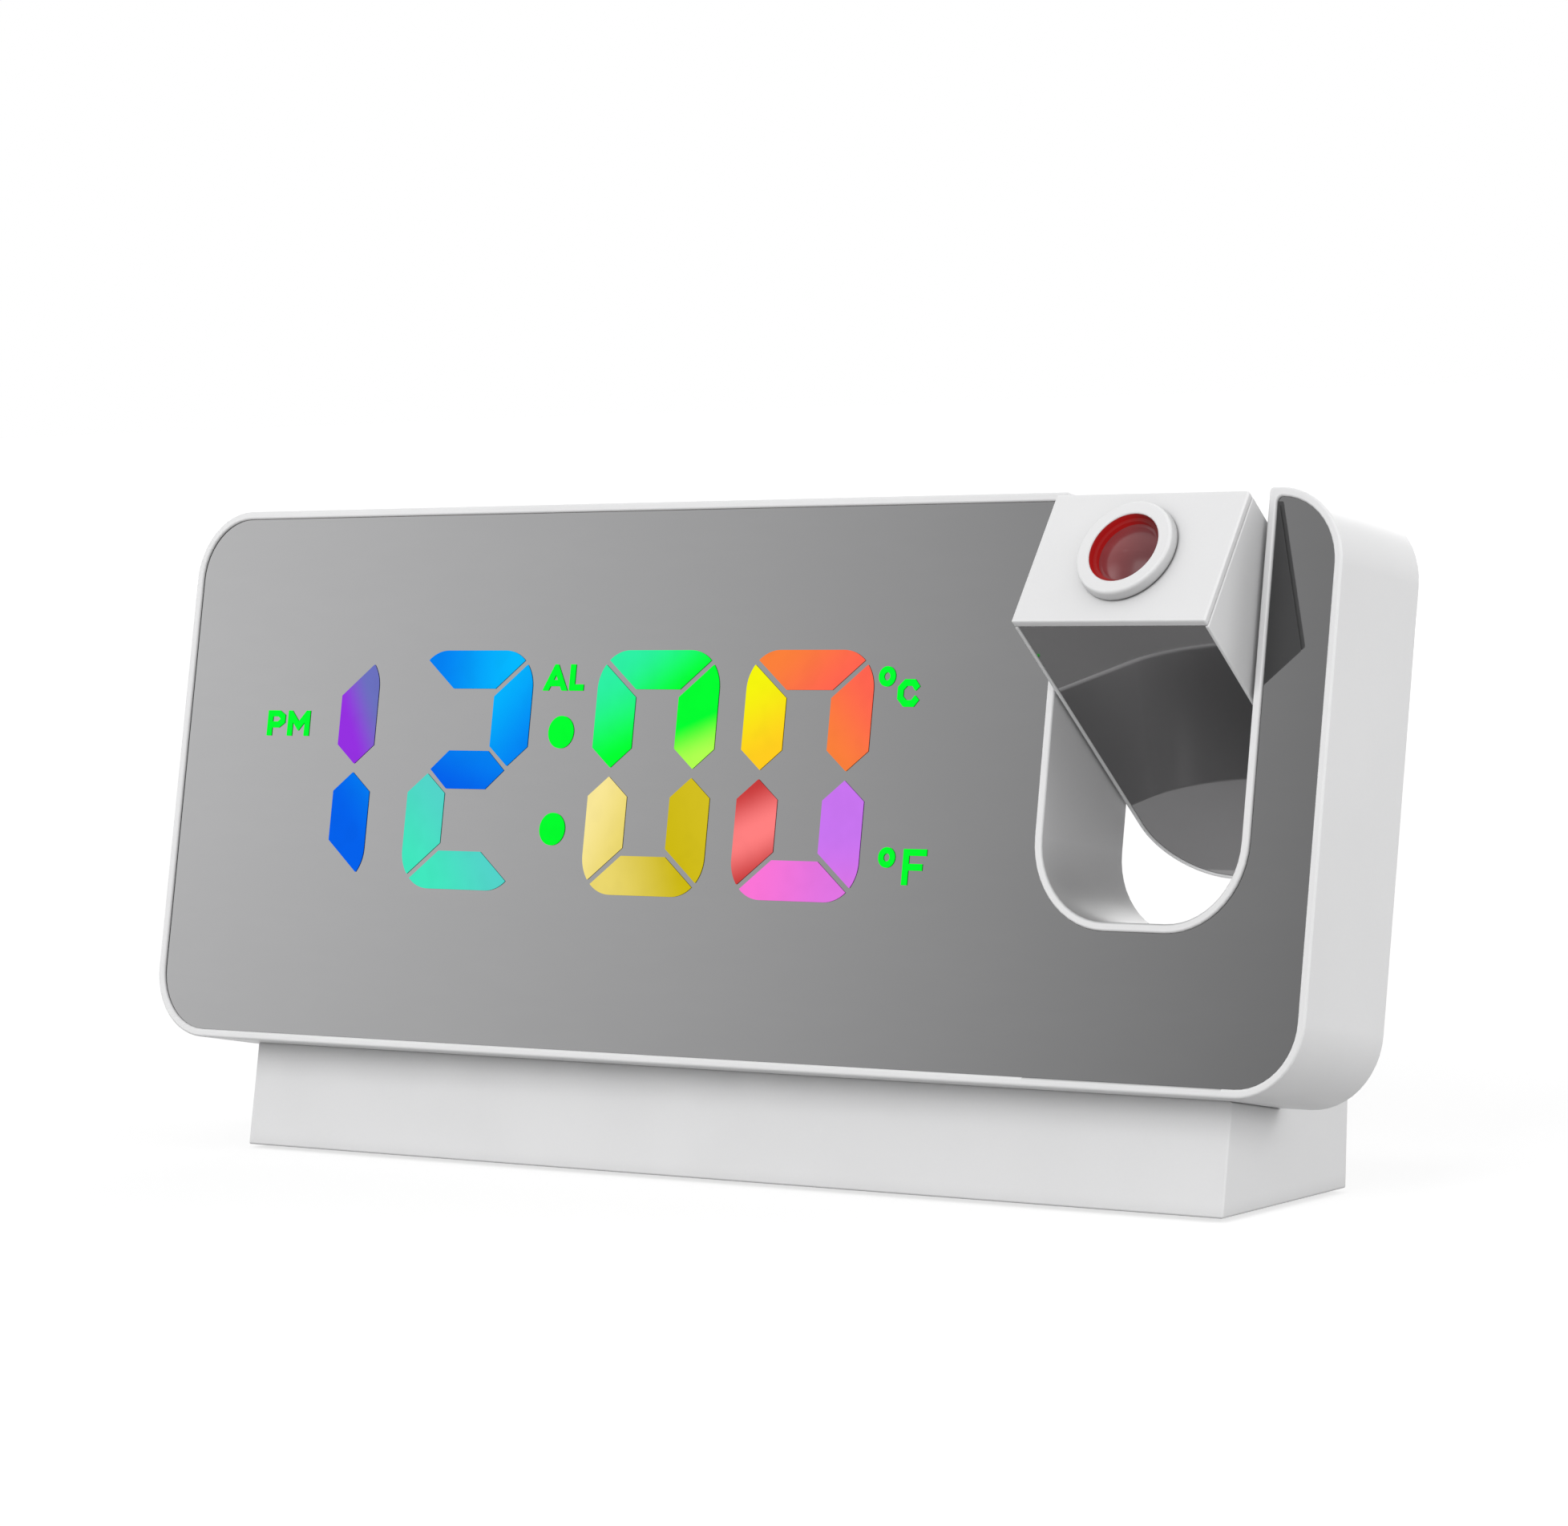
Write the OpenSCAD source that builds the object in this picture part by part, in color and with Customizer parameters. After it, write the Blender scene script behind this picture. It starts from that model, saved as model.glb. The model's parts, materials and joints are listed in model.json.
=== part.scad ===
// Projection alarm clock: a leaning mirror-faced clock on a block stand, with a
// tilting projector head that hangs in a U-shaped slot at its right-hand end.
// Millimetres. +X is to the right of someone facing the clock, +Y points away
// from them, +Z is up, and the feet stand on Z = 0.
//
// Most pieces are drawn in the body's own leaning frame: X as above, Y is the
// depth behind the front rim, and Z runs up the face from its bottom edge.
// The head's pieces are drawn about the head's pivot, as they lie when the head
// stands upright in its slot.

/* [Clock body] */
// Width of the clock body
body_w = 185; // [178:1:195]
// Height of the face, measured up its slope
body_h = 71.4; // [69:0.2:76]
// Depth of the body from the rim to the back
body_d = 17; // [16.8:0.1:17.8]
// Radius of the body's four corners
corner_r = 9.2; // [7:0.1:11]
// Lean of the face back from the vertical, in degrees
lean = 11.7; // [8:0.1:14]
// Wall of the housing
wall = 1.8; // [1.5:0.1:2.2]
// White rim that shows around the mirror
rim_w = 1.1; // [0.9:0.1:1.4]
// Ledge that the mirror is stuck to, past the rim
ledge_w = 2; // [1.5:0.1:2.4]
// Thickness of that ledge
ledge_t = 1.2; // [0.8:0.1:1.6]
// Thickness of the rear cover
cover_t = 2; // [1.6:0.1:2.2]

/* [Mirror and display] */
// Thickness of the mirror panel
mirror_t = 1.5; // [1:0.1:2]
// How far the mirror lies behind the rim
mirror_recess = 0.35; // [0.25:0.05:0.6]
// Thickness of the light windows on the mirror
window_t = 0.15; // [0.1:0.01:0.2]
// Height of a digit
digit_h = 31.3; // [28:0.1:33]
// Width of a digit
digit_w = 20; // [18:0.1:22]
// Width of a digit's upright strokes
stroke_w = 6.4; // [5:0.1:7]
// Height of a digit's level strokes
stroke_h = 5; // [4:0.1:5.6]
// Outer corner radius of a digit
digit_r = 5; // [3:0.1:6]
// Gap between neighbouring strokes
stroke_gap = 0.8; // [0.6:0.1:1.3]
// Distance between the two minute digits' left edges
digit_pitch = 24.5; // [23:0.1:26]
// Distance between the leading hour digit's left edge and the next one's
lead_pitch = 27; // [25:0.1:28]
// Height of the digits' centre above the body's bottom edge
display_v = 36.7; // [35:0.1:38]
// Place of the colon, left of the body's centre
colon_x = 24.4; // [22:0.1:27]
// How far the colon's middle lies below the digits' middle
colon_drop = 1.2; // [0:0.1:2]
// Space between the colon's centre and the digits
colon_gap = 5.6; // [5:0.1:7]
// Radius of the colon's dots
dot_r = 2.1; // [1.8:0.1:2.8]
// Letter height of the small marks
mark_h = 3.4; // [3:0.1:4]

/* [Projector slot] */
// Width of the slot between its walls
slot_w = 28.5; // [27.5:0.1:29.5]
// Distance from the slot's centre to the body's right side
slot_side = 25.05; // [24.5:0.05:26]
// Height of the slot's floor above the body's bottom edge
slot_floor = 19.9; // [18:0.1:22]
// Radius of the slot's two bottom corners
slot_r = 9.9; // [8:0.1:11]
// White rim that shows around the slot
slot_rim = 1.1; // [0.9:0.1:1.4]
// Wall of the slot's lining behind the mirror
slot_wall = 1.6; // [1.4:0.1:2]
// Radius where the slot's walls meet the body's top
lip_r = 0.5; // [0.4:0.1:1.2]
// Radius of the mirror's corners beside the slot at the top
mirror_lip_r = 0.8; // [0.6:0.1:1.2]

/* [Projector head] */
// Tilt of the head towards the front, from upright, in degrees
tilt = 55; // [45:1:65]
// Play between the head and each wall of the slot
head_play = 0.45; // [0.35:0.05:0.6]
// Height of the head's face
head_h = 45.8; // [44:0.1:47]
// Depth of the head from its face to its back
head_d = 17.4; // [17:0.1:18]
// Radius of the head's two bottom corners
head_r = 9.5; // [8:0.1:11]
// Radius along the head's back bottom edge
heel_r = 3; // [2:0.1:4]
// Wall of the head's shell
head_wall = 1.5; // [1.2:0.1:1.8]
// White rim around the head's mirror
head_rim = 0.5; // [0.4:0.1:1.2]
// Thickness of the head's mirror
head_mirror_t = 1.2; // [1:0.1:1.4]
// Thickness of the cap on top of the head
cap_t = 1; // [0.8:0.1:1.2]
// Distance from the pivot down from the body's top edge
pivot_drop = 18.8; // [18:0.1:20]
// Depth of the pivot behind the rim
pivot_depth = 11; // [10.6:0.1:11.2]
// How far the head's top lies below the body's top edge when upright
head_drop = 0.4; // [0.2:0.1:1]
// Radius of the pivot pins
pin_r = 3; // [2.6:0.1:3.2]
// Radius of the hole through the pivot pins
pin_bore_r = 1.6; // [1.2:0.1:1.8]

/* [Projector optics] */
// Outer radius of the focus ring at its foot
ring_r = 6.6; // [6:0.1:6.6]
// Height of the focus ring above the cap
ring_h = 1.7; // [1.2:0.1:2.2]
// Radius of the opening in the focus ring
ring_bore_r = 4.6; // [4.3:0.05:4.6]
// How far the lens lies behind the cap's centre
lens_shift = 0.3; // [0.3:0.1:0.6]
// Wall of the lens cell
cell_wall = 0.5; // [0.4:0.1:0.7]
// Length of the lens cell
cell_len = 4; // [3.4:0.1:4.2]
// Radius of curvature of the lens's two faces
lens_curve = 9; // [7:0.5:12]

/* [Stand] */
// Room in the stand beyond each end of the battery bay
stand_end = 9.65; // [6:0.05:12]
// Depth of the stand's underside
stand_d = 26.5; // [26:0.1:30]
// Height of the body's front bottom edge above the stand's underside
stand_h = 14.8; // [14:0.1:18]
// How far the stand's front foot lies behind the body's front edge
stand_front = 3.7; // [3:0.1:5]
// Height of the stand's back wall
stand_back_h = 21; // [19.5:0.5:24]
// Height at which the stand's top meets the body's back
stand_top_h = 28; // [25:0.5:31]
// Lean of the stand's back wall, in degrees
stand_back_lean = 6; // [4:0.5:8]
// Wall of the stand
stand_wall = 2.2; // [2:0.1:2.4]
// Thickness of the stand's base plate
base_t = 2; // [1.6:0.1:2.4]
// Radius of the rubber feet
foot_r = 3.5; // [3:0.1:4]
// How far the feet stand out below the base plate
foot_h = 0.5; // [0.3:0.1:0.8]
// Length of a foot that is let into the base plate
foot_seat = 0.8; // [0.6:0.1:1]
// Distance of the feet's centres from the stand's ends
foot_in = 16.5; // [14:0.5:24]

/* [Battery bay] */
// Radius of a battery cell
cell_r = 5.2; // [5:0.05:5.25]
// Length of a battery cell without its tip
battery_len = 43.6; // [43:0.1:44]
// Number of battery cells, end to end
battery_count = 3; // [1:1:3]
// Thickness of the battery door
door_t = 1.4; // [1.3:0.1:1.5]

/* [Controls] */
// Number of push buttons on the back
button_count = 5; // [5:1:5]
// Width of a push button
button_w = 9; // [7:0.5:10]
// Height of a push button
button_h = 5; // [4:0.5:6]
// Distance between neighbouring buttons
button_pitch = 14; // [13:0.5:15]
// Distance from the body's end to the first button's centre
button_inset = 30.5; // [28:0.5:34]
// Height of the board behind the buttons
main_board_h = 36; // [34:0.5:40]
// Radius of the alarm's buzzer
buzzer_r = 7; // [6:0.1:7.5]
// Thickness of the alarm's buzzer
buzzer_t = 3.4; // [2.6:0.1:3.6]
// Side of the controller chip
chip_w = 9; // [7:0.1:10]
// Radius of the adapter plug's hole
jack_bore_r = 2.8; // [2.6:0.05:2.9]
// Side of the adapter jack's block
jack_w = 8.6; // [8:0.1:9]
// Travel of a push button
button_travel = 0.8; // [0.6:0.1:0.9]
// How far a button stands out of the rear cover
button_proud = 1; // [0.9:0.1:1.4]

/* [Fits] */
// Gap around parts that are set in place
set_gap = 0.1; // [0.05:0.05:0.2]
// Gap around the two mirrors, which are glued in
mirror_gap = 0.02; // [0.01:0.01:0.1]
// Gap around parts that slide
slide_gap = 0.25; // [0.2:0.05:0.3]
// Radial clearance of a turning shaft
run_gap = 0.06; // [0.04:0.01:0.09]

/* [Hidden] */
$fn = 64;
over = 1; // cutting tools run this far past the faces they cut

// Colours
white = [0.9, 0.9, 0.9];
mirror_grey = [0.55, 0.55, 0.56];
board_green = [0.1, 0.35, 0.2];
steel = [0.7, 0.7, 0.72];

// Depths through the body, front to back
pocket_d = mirror_recess + mirror_t;
ledge_d = pocket_d + ledge_t;
cover_d = body_d - cover_t;
diffuser_t = 0.5;
board_t = 1.2;
post_h = 4.2;
header_h = 1;
main_board_d = cover_d - post_h - board_t;
display_board_d = main_board_d - header_h - board_t;
header_w = 24;
header_d = 5;
switch_w = 5.2;
switch_h = 1.5;
plunger_h = 0.4;
jack_neck_r = jack_bore_r + 0.8;
jack_len = cover_d - display_board_d - board_t - 0.2;
led_h = 1;

// Slot, pivot and head
slot_x = body_w / 2 - slot_side;
pivot_v = body_h - pivot_drop;
head_half = slot_w / 2 - head_play;
head_up = pivot_drop - head_drop;
head_low = head_h - head_up;
head_back = head_d - pivot_depth;
head_mirror_y = 0.2 - pivot_depth;
cell_top = ring_h - 0.9;
cell_floor = 2.6;
lens_y = head_d / (2 * cos(lean)) + lens_shift;
cell_outer_r = ring_bore_r - run_gap;
glass_r = cell_outer_r - cell_wall;
lens_lip = 0.3;
neck_r = ring_bore_r + 0.9;
neck_len = cap_t + 1;
clip_t = 0.5;
clip_z = cap_t + 0.2;
bush_r = pin_r + 0.7;
bush_proud = 1;
pin_end = slot_w / 2 + slot_wall + bush_proud + 1.6;
pin_flange = 1;
washer_t = head_play - run_gap;
tube_r = 4.2;
tube_wall = 0.6;
tube_top = 5;
tube_end = 11.5;
projector_board_t = 1;

// Where the leaning body stands: its front bottom edge is the lowest point of
// the face, and the whole clock is centred on Y = 0
lift = foot_h + stand_h;
head_lean = tilt - lean;
pivot_y = pivot_v * sin(lean) + pivot_depth * cos(lean);
head_reach = pivot_y + heel_r + (head_back - heel_r) * cos(head_lean)
             + (head_low - heel_r) * sin(head_lean);
body_reach = body_h * sin(lean) + body_d * cos(lean);
stand_reach = stand_front + stand_d + stand_back_h * tan(stand_back_lean);
y_off = -max(head_reach, body_reach, stand_reach) / 2;

// Screws
screw_r = 1.1;
screw_head_r = 2.1;
boss_r = 2.6;
web_t = 1.6;
countersink = 0.9;
cover_screw_len = 7;
board_screw_len = 4;
base_screw_len = 6;
head_screw_len = 3.6;
head_screw_in = 4.5;
head_screw_drop = 2.5;
cover_screw_x = [-body_w / 2 + wall + boss_r + 0.3, slot_x - slot_w / 2 - slot_wall - boss_r - 0.3,
                 slot_x + slot_w / 2 + slot_wall + boss_r + 1.1];
cover_screw_v = [24, body_h - 10];
display_boss_in = 17;
display_boss_x = [-body_w / 2 + display_boss_in, slot_x - slot_w / 2 - slot_wall - display_boss_in];
display_boss_v = [wall + boss_r - 0.6, body_h - wall - boss_r + 0.6];

// Display board and the light box in front of it
display_left = -colon_x - colon_gap - lead_pitch - digit_w - 2;
display_right = -colon_x + colon_gap + digit_pitch + digit_w + 12;
display_low = display_v - digit_h / 2 - 3;
display_high = display_v + digit_h / 2 + 3;
board_right = slot_x - slot_w / 2 - slot_wall - 10;
board_left = -body_w / 2 + wall + 2 * boss_r + 1;

// Main board, on posts of the rear cover
button_v = body_h - 17;
button_x0 = -body_w / 2 + button_inset;
main_left = button_x0 - button_w / 2 - 6;
main_right = button_x0 + (button_count - 1) * button_pitch + button_w / 2 + 6;
main_high = button_v + button_h / 2 + 5;
main_low = main_high - main_board_h;
post_x = [main_left + 3, main_right - 3];
post_v = [main_low + 3, main_high - 3];
buzzer_at = [button_x0 + 3 * button_pitch, button_v - button_h / 2 - buzzer_r - 7.5];
chip_at = [button_x0 + button_pitch, buzzer_at[1]];
jack_at = [slot_x - slot_w / 2 - slot_wall - jack_w / 2 - 0.7, slot_floor + 15];

// Stand's side outline, in the plane of Y and Z, from its front foot round
stand_join = stand_front * cos(lean) + stand_h * sin(lean);
stand_outline = [
    [stand_front, 0],
    [stand_front + stand_d, 0],
    [stand_reach, stand_back_h],
    [body_d * cos(lean) + (stand_top_h - stand_h + body_d * sin(lean)) * tan(lean), stand_top_h],
    [body_d * cos(lean), stand_h - body_d * sin(lean)],
    [stand_join * cos(lean), stand_h - stand_join * sin(lean)]];

// Battery bay
spring_len = 4.5;
tip_len = 0.9;
contact_t = 0.5;
battery_pitch = battery_len + tip_len;
bay_len = battery_count * battery_pitch + spring_len + contact_t;
stand_w = bay_len + 2 * stand_end;
rib_t = 1.4;
door_low = base_t + 0.4;
foot_edge = stand_wall + foot_r + 1;
hinge_r = door_t / 2;
hinge_pin_r = 0.35;
hinge_pin_len = 1;
door_ledge = 1.2;
bay_play = 0.3;
door_h = 2 * hinge_r + 2 * (cell_r + bay_play) + door_ledge;
cell_depth = door_t + 0.2 + cell_r;
cell_high = door_low + 2 * hinge_r + bay_play + cell_r;
bay_front = stand_front + stand_d - cell_depth - cell_r - 1.6;

// ---------------------------------------------------------------- placing

// Puts something drawn in the body's frame where the leaning body stands
module on_body() {
    translate([0, y_off, lift]) rotate([-lean, 0, 0]) children();
}

// Puts something drawn about the head's pivot into its slot, at the head's tilt
module on_head() {
    on_body() translate([slot_x, pivot_depth, pivot_v]) rotate([tilt, 0, 0]) children();
}

// From the head's frame to the lens axis: the origin is where the axis leaves
// the cap's top, and Z runs out along it
module on_cap() {
    translate([0, -pivot_depth, head_up]) rotate([lean, 0, 0]) translate([0, lens_y, 0]) children();
}

// Puts something drawn on the stand's underside plane where the stand is
module on_stand() {
    translate([0, y_off, foot_h]) children();
}

// From the stand's frame to its leaning back wall: Y = 0 is the outer face
module on_back_wall() {
    translate([0, stand_front + stand_d, 0]) rotate([-stand_back_lean, 0, 0]) children();
}

// Gives a shape drawn in X and height a thickness from one depth to another
module slab(near, far) {
    translate([0, far, 0]) rotate([90, 0, 0]) linear_extrude(far - near) children();
}

// Gives a shape drawn in Y and Z a width, centred on X = 0
module across(width) {
    translate([-width / 2, 0, 0]) rotate([90, 0, 90]) linear_extrude(width) children();
}

// Copies a piece onto both sides of the slot
module both_sides() {
    for (side = [0, 1]) translate([slot_x, 0, 0]) mirror([side, 0, 0]) children();
}

// ---------------------------------------------------------------- outlines

// Rectangle with round corners, given by two opposite corners
module round_rect(low, high, r) {
    size = high - low;
    translate(low + [r, 0]) square([size[0] - 2 * r, size[1]]);
    translate(low + [0, r]) square([size[0], size[1] - 2 * r]);
    for (x = [low[0] + r, high[0] - r], y = [low[1] + r, high[1] - r])
        translate([x, y]) circle(r);
}

// The body's front outline, moved in by an inset
module body_outline(inset = 0) {
    round_rect([-body_w / 2 + inset, inset], [body_w / 2 - inset, body_h - inset], corner_r - inset);
}

// An upright U, open at the top: half its width, its lowest point, its corner
// radius and its top
module u_outline(half, low, r, top) {
    translate([-half, low + r]) square([2 * half, top - low - r]);
    translate([-half + r, low]) square([2 * (half - r), r + over / 2]);
    for (side = [-1, 1]) translate([side * (half - r), low + r]) circle(r);
}

// The slot, grown outwards
module slot_outline(grow = 0) {
    translate([slot_x, 0])
        u_outline(slot_w / 2 + grow, slot_floor - grow, slot_r + grow, body_h + 2 * over);
}

// The body's outline without the slot, both moved into the material
module face_outline(inset, slot_inset) {
    difference() {
        body_outline(inset);
        slot_outline(slot_inset);
    }
}

// The sliver cut away to round the corner between a slot wall and the top
module lip_cut(r, edge, top) {
    translate([edge, top - r]) difference() {
        square([r, r + over]);
        translate([r, 0]) circle(r);
    }
}

// Cuts the four lips of the slot, on both of its walls
module slot_lips(r, grow, top) {
    for (side = [-1, 1]) translate([slot_x, 0]) mirror([side < 0 ? 1 : 0, 0])
        lip_cut(r, slot_w / 2 + grow, top);
}

// The mirror's outline inside the rim, with its corners by the slot rounded
module mirror_outline(gap) {
    difference() {
        face_outline(rim_w + gap, slot_rim + gap);
        slot_lips(mirror_lip_r, slot_rim + gap, body_h - rim_w - gap);
    }
}

// ---------------------------------------------------------------- body

// White tub: rim, ledge for the mirror, side walls, slot lining and bosses
module housing() {
    color(white) on_body() difference() {
        union() {
            difference() {
                slab(0, body_d) face_outline(0, 0);
                slab(-over, pocket_d) mirror_outline(0);
                slab(0, ledge_d) face_outline(rim_w + ledge_w, slot_rim + ledge_w);
                slab(ledge_d, body_d + over) face_outline(wall, slot_wall);
            }
            for (x = cover_screw_x, v = cover_screw_v) boss(x, v, cover_d);
            for (x = display_boss_x, v = display_boss_v) boss(x, v, display_board_d);
            for (v = cover_screw_v) {
                web(-body_w / 2 + wall - over / 2, cover_screw_x[0], v);
                web(cover_screw_x[1], slot_x - slot_w / 2 - slot_wall + over / 2, v);
                web(slot_x + slot_w / 2 + slot_wall - over / 2, cover_screw_x[2], v);
            }
        }
        slab(-over, body_d + over) slot_lips(lip_r, 0, body_h);
        for (x = cover_screw_x, v = cover_screw_v) pilot(x, v, cover_d, cover_screw_len + over);
        for (x = display_boss_x, v = display_boss_v) pilot(x, v, display_board_d, board_screw_len);
        both_sides() translate([slot_w / 2 - over, pivot_depth, pivot_v])
            rotate([0, 90, 0]) cylinder(h = slot_wall + 2 * over, r = bush_r + set_gap / 4);
        for (x = stand_screw_x()) stand_screw_axis(x) cylinder(h = wall + over, r = screw_r);
    }
}

// A screw boss that stands on the ledge and ends at a depth
module boss(x, v, end) {
    translate([x, ledge_d - ledge_t / 2, v]) rotate([-90, 0, 0])
        cylinder(h = end - ledge_d + ledge_t / 2, r = boss_r);
}

// A web that ties a boss to the wall beside it
module web(from, to, v) {
    translate([from, ledge_d - ledge_t / 2, v - web_t / 2])
        cube([to - from, cover_d - ledge_d + ledge_t / 2, web_t]);
}

// The blind hole for a screw that enters a boss at a depth
module pilot(x, v, end, length) {
    translate([x, end - length, v]) rotate([-90, 0, 0]) cylinder(h = length + over, r = screw_r);
}

// Half-mirrored acrylic window with a U-shaped cut-out for the slot
module mirror_panel() {
    color(mirror_grey) on_body() slab(mirror_recess, pocket_d) mirror_outline(mirror_gap);
}

// Flat cover that closes the tub from behind
module rear_cover() {
    color(white) on_body() difference() {
        union() {
            slab(cover_d, body_d) face_outline(wall + set_gap, slot_wall + set_gap);
            for (x = post_x, v = post_v) translate([x, main_board_d + board_t, v]) rotate([-90, 0, 0])
                cylinder(h = cover_d - main_board_d - board_t + cover_t / 2, r = 2);
        }
        for (x = cover_screw_x, v = cover_screw_v) translate([x, body_d, v]) rotate([90, 0, 0]) {
            cylinder(h = cover_t + over, r = screw_r + set_gap);
            translate([0, 0, -over]) cylinder(h = countersink + over, r = screw_head_r + set_gap);
        }
        for (i = [0 : button_count - 1]) slab(cover_d - over, body_d + over)
            button_outline(i, slide_gap);
        translate([jack_at[0], cover_d - over, jack_at[1]]) rotate([-90, 0, 0])
            cylinder(h = cover_t + 2 * over, r = jack_neck_r + set_gap);
        sound_holes();
        sensor_vents();
        for (x = post_x, v = post_v) translate([x, main_board_d, v]) rotate([-90, 0, 0])
            cylinder(h = board_screw_len + over, r = screw_r);
    }
}

// Round holes in front of the buzzer, one in the middle of a ring of six
module sound_holes() {
    hole_r = 0.8;
    ring = 3.2;
    translate([buzzer_at[0], cover_d - over, buzzer_at[1]]) rotate([-90, 0, 0]) {
        cylinder(h = cover_t + 2 * over, r = hole_r);
        for (a = [0 : 60 : 300]) rotate(a) translate([ring, 0, 0])
            cylinder(h = cover_t + 2 * over, r = hole_r);
    }
}

// Three short slots that let room air reach the temperature sensor
module sensor_vents() {
    for (i = [0 : 2]) slab(cover_d - over, body_d + over)
        translate([main_left + 5 + i * 2.4, chip_at[1] - 4]) square([1.2, 8]);
}

module cover_screws() {
    color(steel) on_body() for (x = cover_screw_x, v = cover_screw_v)
        translate([x, body_d - countersink, v]) rotate([90, 0, 0]) screw(cover_screw_len);
}

// A screw with its head on top of Z = 0 and its shank below it, turned over
module screw(length) {
    drive = 1.1;
    difference() {
        union() {
            cylinder(h = length, r = screw_r - 0.05);
            translate([0, 0, -0.8]) cylinder(h = 0.8, r = screw_head_r);
        }
        for (turn = [0, 90]) rotate(turn) translate([-drive, -0.25, -0.8 - over])
            cube([2 * drive, 0.5, over + 0.4]);
    }
}

// ---------------------------------------------------------------- display

// One stroke of a seven-segment digit, lettered a to g clockwise from the top
module stroke(name) {
    mid = digit_h / 2;
    angle = atan(stroke_h / stroke_w);
    shift = stroke_gap / cos(angle);
    point = stroke_h / 2;
    end = stroke_gap * 0.75;
    if (name == "a" || name == "d") {
        flip_level(name == "d") intersection() {
            round_rect([0, 0], [digit_w, digit_h], digit_r);
            polygon([[0, digit_h], [digit_w, digit_h], [digit_w - stroke_w, digit_h - stroke_h],
                     [stroke_w, digit_h - stroke_h]]);
        }
    } else if (name == "g") {
        inner = stroke_w * 0.57;
        polygon([[inner, mid], [inner + point + 0.5, mid + point],
                 [digit_w - inner - point - 0.5, mid + point], [digit_w - inner, mid],
                 [digit_w - inner - point - 0.5, mid - point], [inner + point + 0.5, mid - point]]);
    } else {
        flip_level(name == "e" || name == "c") flip_side(name == "b" || name == "c") intersection() {
            round_rect([0, 0], [digit_w, digit_h], digit_r);
            polygon([[0, digit_h - shift], [stroke_w, digit_h - stroke_h - shift],
                     [stroke_w, mid + end + point], [stroke_w / 2, mid + end], [0, mid + end + point]]);
        }
    }
}

// Mirrors a stroke top to bottom within its digit
module flip_level(on) {
    if (on) translate([0, digit_h]) mirror([0, 1]) children();
    else children();
}

// Mirrors a stroke left to right within its digit
module flip_side(on) {
    if (on) translate([digit_w, 0]) mirror([1, 0]) children();
    else children();
}

// A digit's strokes, at the place of its left edge
module digit(left, names) {
    translate([left, display_v - digit_h / 2]) for (name = names) stroke(name);
}

module window_slab() {
    on_body() slab(mirror_recess - window_t, mirror_recess) children();
}

module hour_windows() {
    right = -colon_x - colon_gap;
    color([0, 0.5, 0.95]) window_slab() {
        digit(right - digit_w - lead_pitch, ["b", "c"]);
        digit(right - digit_w, ["a", "b", "g", "e", "d"]);
    }
}

module minute_windows() {
    left = -colon_x + colon_gap;
    color([1, 0.55, 0.1]) window_slab() for (i = [0, 1])
        digit(left + i * digit_pitch, ["a", "b", "c", "d", "e", "f"]);
}

module colon_windows() {
    color([0, 1, 0.15]) window_slab() for (side = [-1, 1])
        translate([-colon_x, display_v - colon_drop + side * digit_h / 5]) circle(dot_r);
}

// Direction across a line of points at one of them, as long as its mitre there
function across_run(a, b) = [a[1] - b[1], b[0] - a[0]] / norm(b - a);
function across_at(p, i) =
    let (before = across_run(p[max(i - 1, 0)], p[max(i, 1)]),
         after = across_run(p[min(i, len(p) - 2)], p[min(i + 1, len(p) - 1)]))
    (before + after) / (1 + before * after);

// Part of a letter: a mitred line through points given in units of its height, cut off
// level at its top and foot
module letter(points, height) {
    weight = mark_h * 0.24;
    run = [for (p = points) p * (height - weight) + [weight, weight] / 2];
    side = [for (i = [0 : len(run) - 1]) across_at(run, i) * weight / 2];
    back = [len(run) - 1 : -1 : 0];
    intersection() {
        polygon(concat(run + side, [for (i = back) run[i] - side[i]]));
        translate([-height, 0]) square([3 * height, height]);
    }
}

letter_p = [[0, 1], [0.6, 1], [0.88, 0.84], [0.88, 0.6], [0.6, 0.42], [0, 0.42]];
letter_stem = [[0, -0.3], [0, 1.3]];
letter_m = [[0, -0.3], [0, 1], [0.6, 0.35], [1.2, 1], [1.2, -0.3]];
letter_a = [[-0.16, -0.3], [0.54, 1], [1.24, -0.3]];
letter_a_bar = [[0.2, 0.22], [0.88, 0.22]];
letter_l = [[0, 1.3], [0, 0], [0.75, 0]];
letter_c = [[1, 0.72], [0.75, 1], [0.3, 1], [0, 0.72], [0, 0.28], [0.3, 0], [0.75, 0], [1, 0.28]];
letter_f = [[0.85, 1], [0, 1], [0, -0.3]];
letter_f_bar = [[0, 0.5], [0.7, 0.5]];

// Small lit marks: afternoon, alarm on, and the two temperature scales
module indicator_windows() {
    degree_x = -colon_x + colon_gap + digit_pitch + digit_w + 2;
    afternoon = [-colon_x - colon_gap - lead_pitch - digit_w + 0.3, display_v + digit_h * 0.134];
    alarm = [-colon_x - 3.5, display_v + digit_h / 3];
    tall = mark_h * 1.3;
    color([0, 1, 0.15]) window_slab() {
        translate(afternoon) {
            letter(letter_stem, mark_h);
            letter(letter_p, mark_h);
            translate([mark_h * 1.1, 0]) letter(letter_m, mark_h);
        }
        translate(alarm) {
            letter(letter_a, mark_h);
            letter(letter_a_bar, mark_h);
            translate([mark_h * 1.24, 0]) letter(letter_l, mark_h);
        }
        translate([degree_x, display_v + digit_h * 0.395]) {
            degree_ring();
            translate([mark_h * 0.54, -mark_h * 1.1]) letter(letter_c, mark_h);
        }
        translate([degree_x + 2.3, display_v - digit_h * 0.316]) {
            degree_ring();
            translate([mark_h * 0.76, -tall * 0.75]) {
                letter(letter_f, tall);
                letter(letter_f_bar, tall);
            }
        }
    }
}

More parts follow.
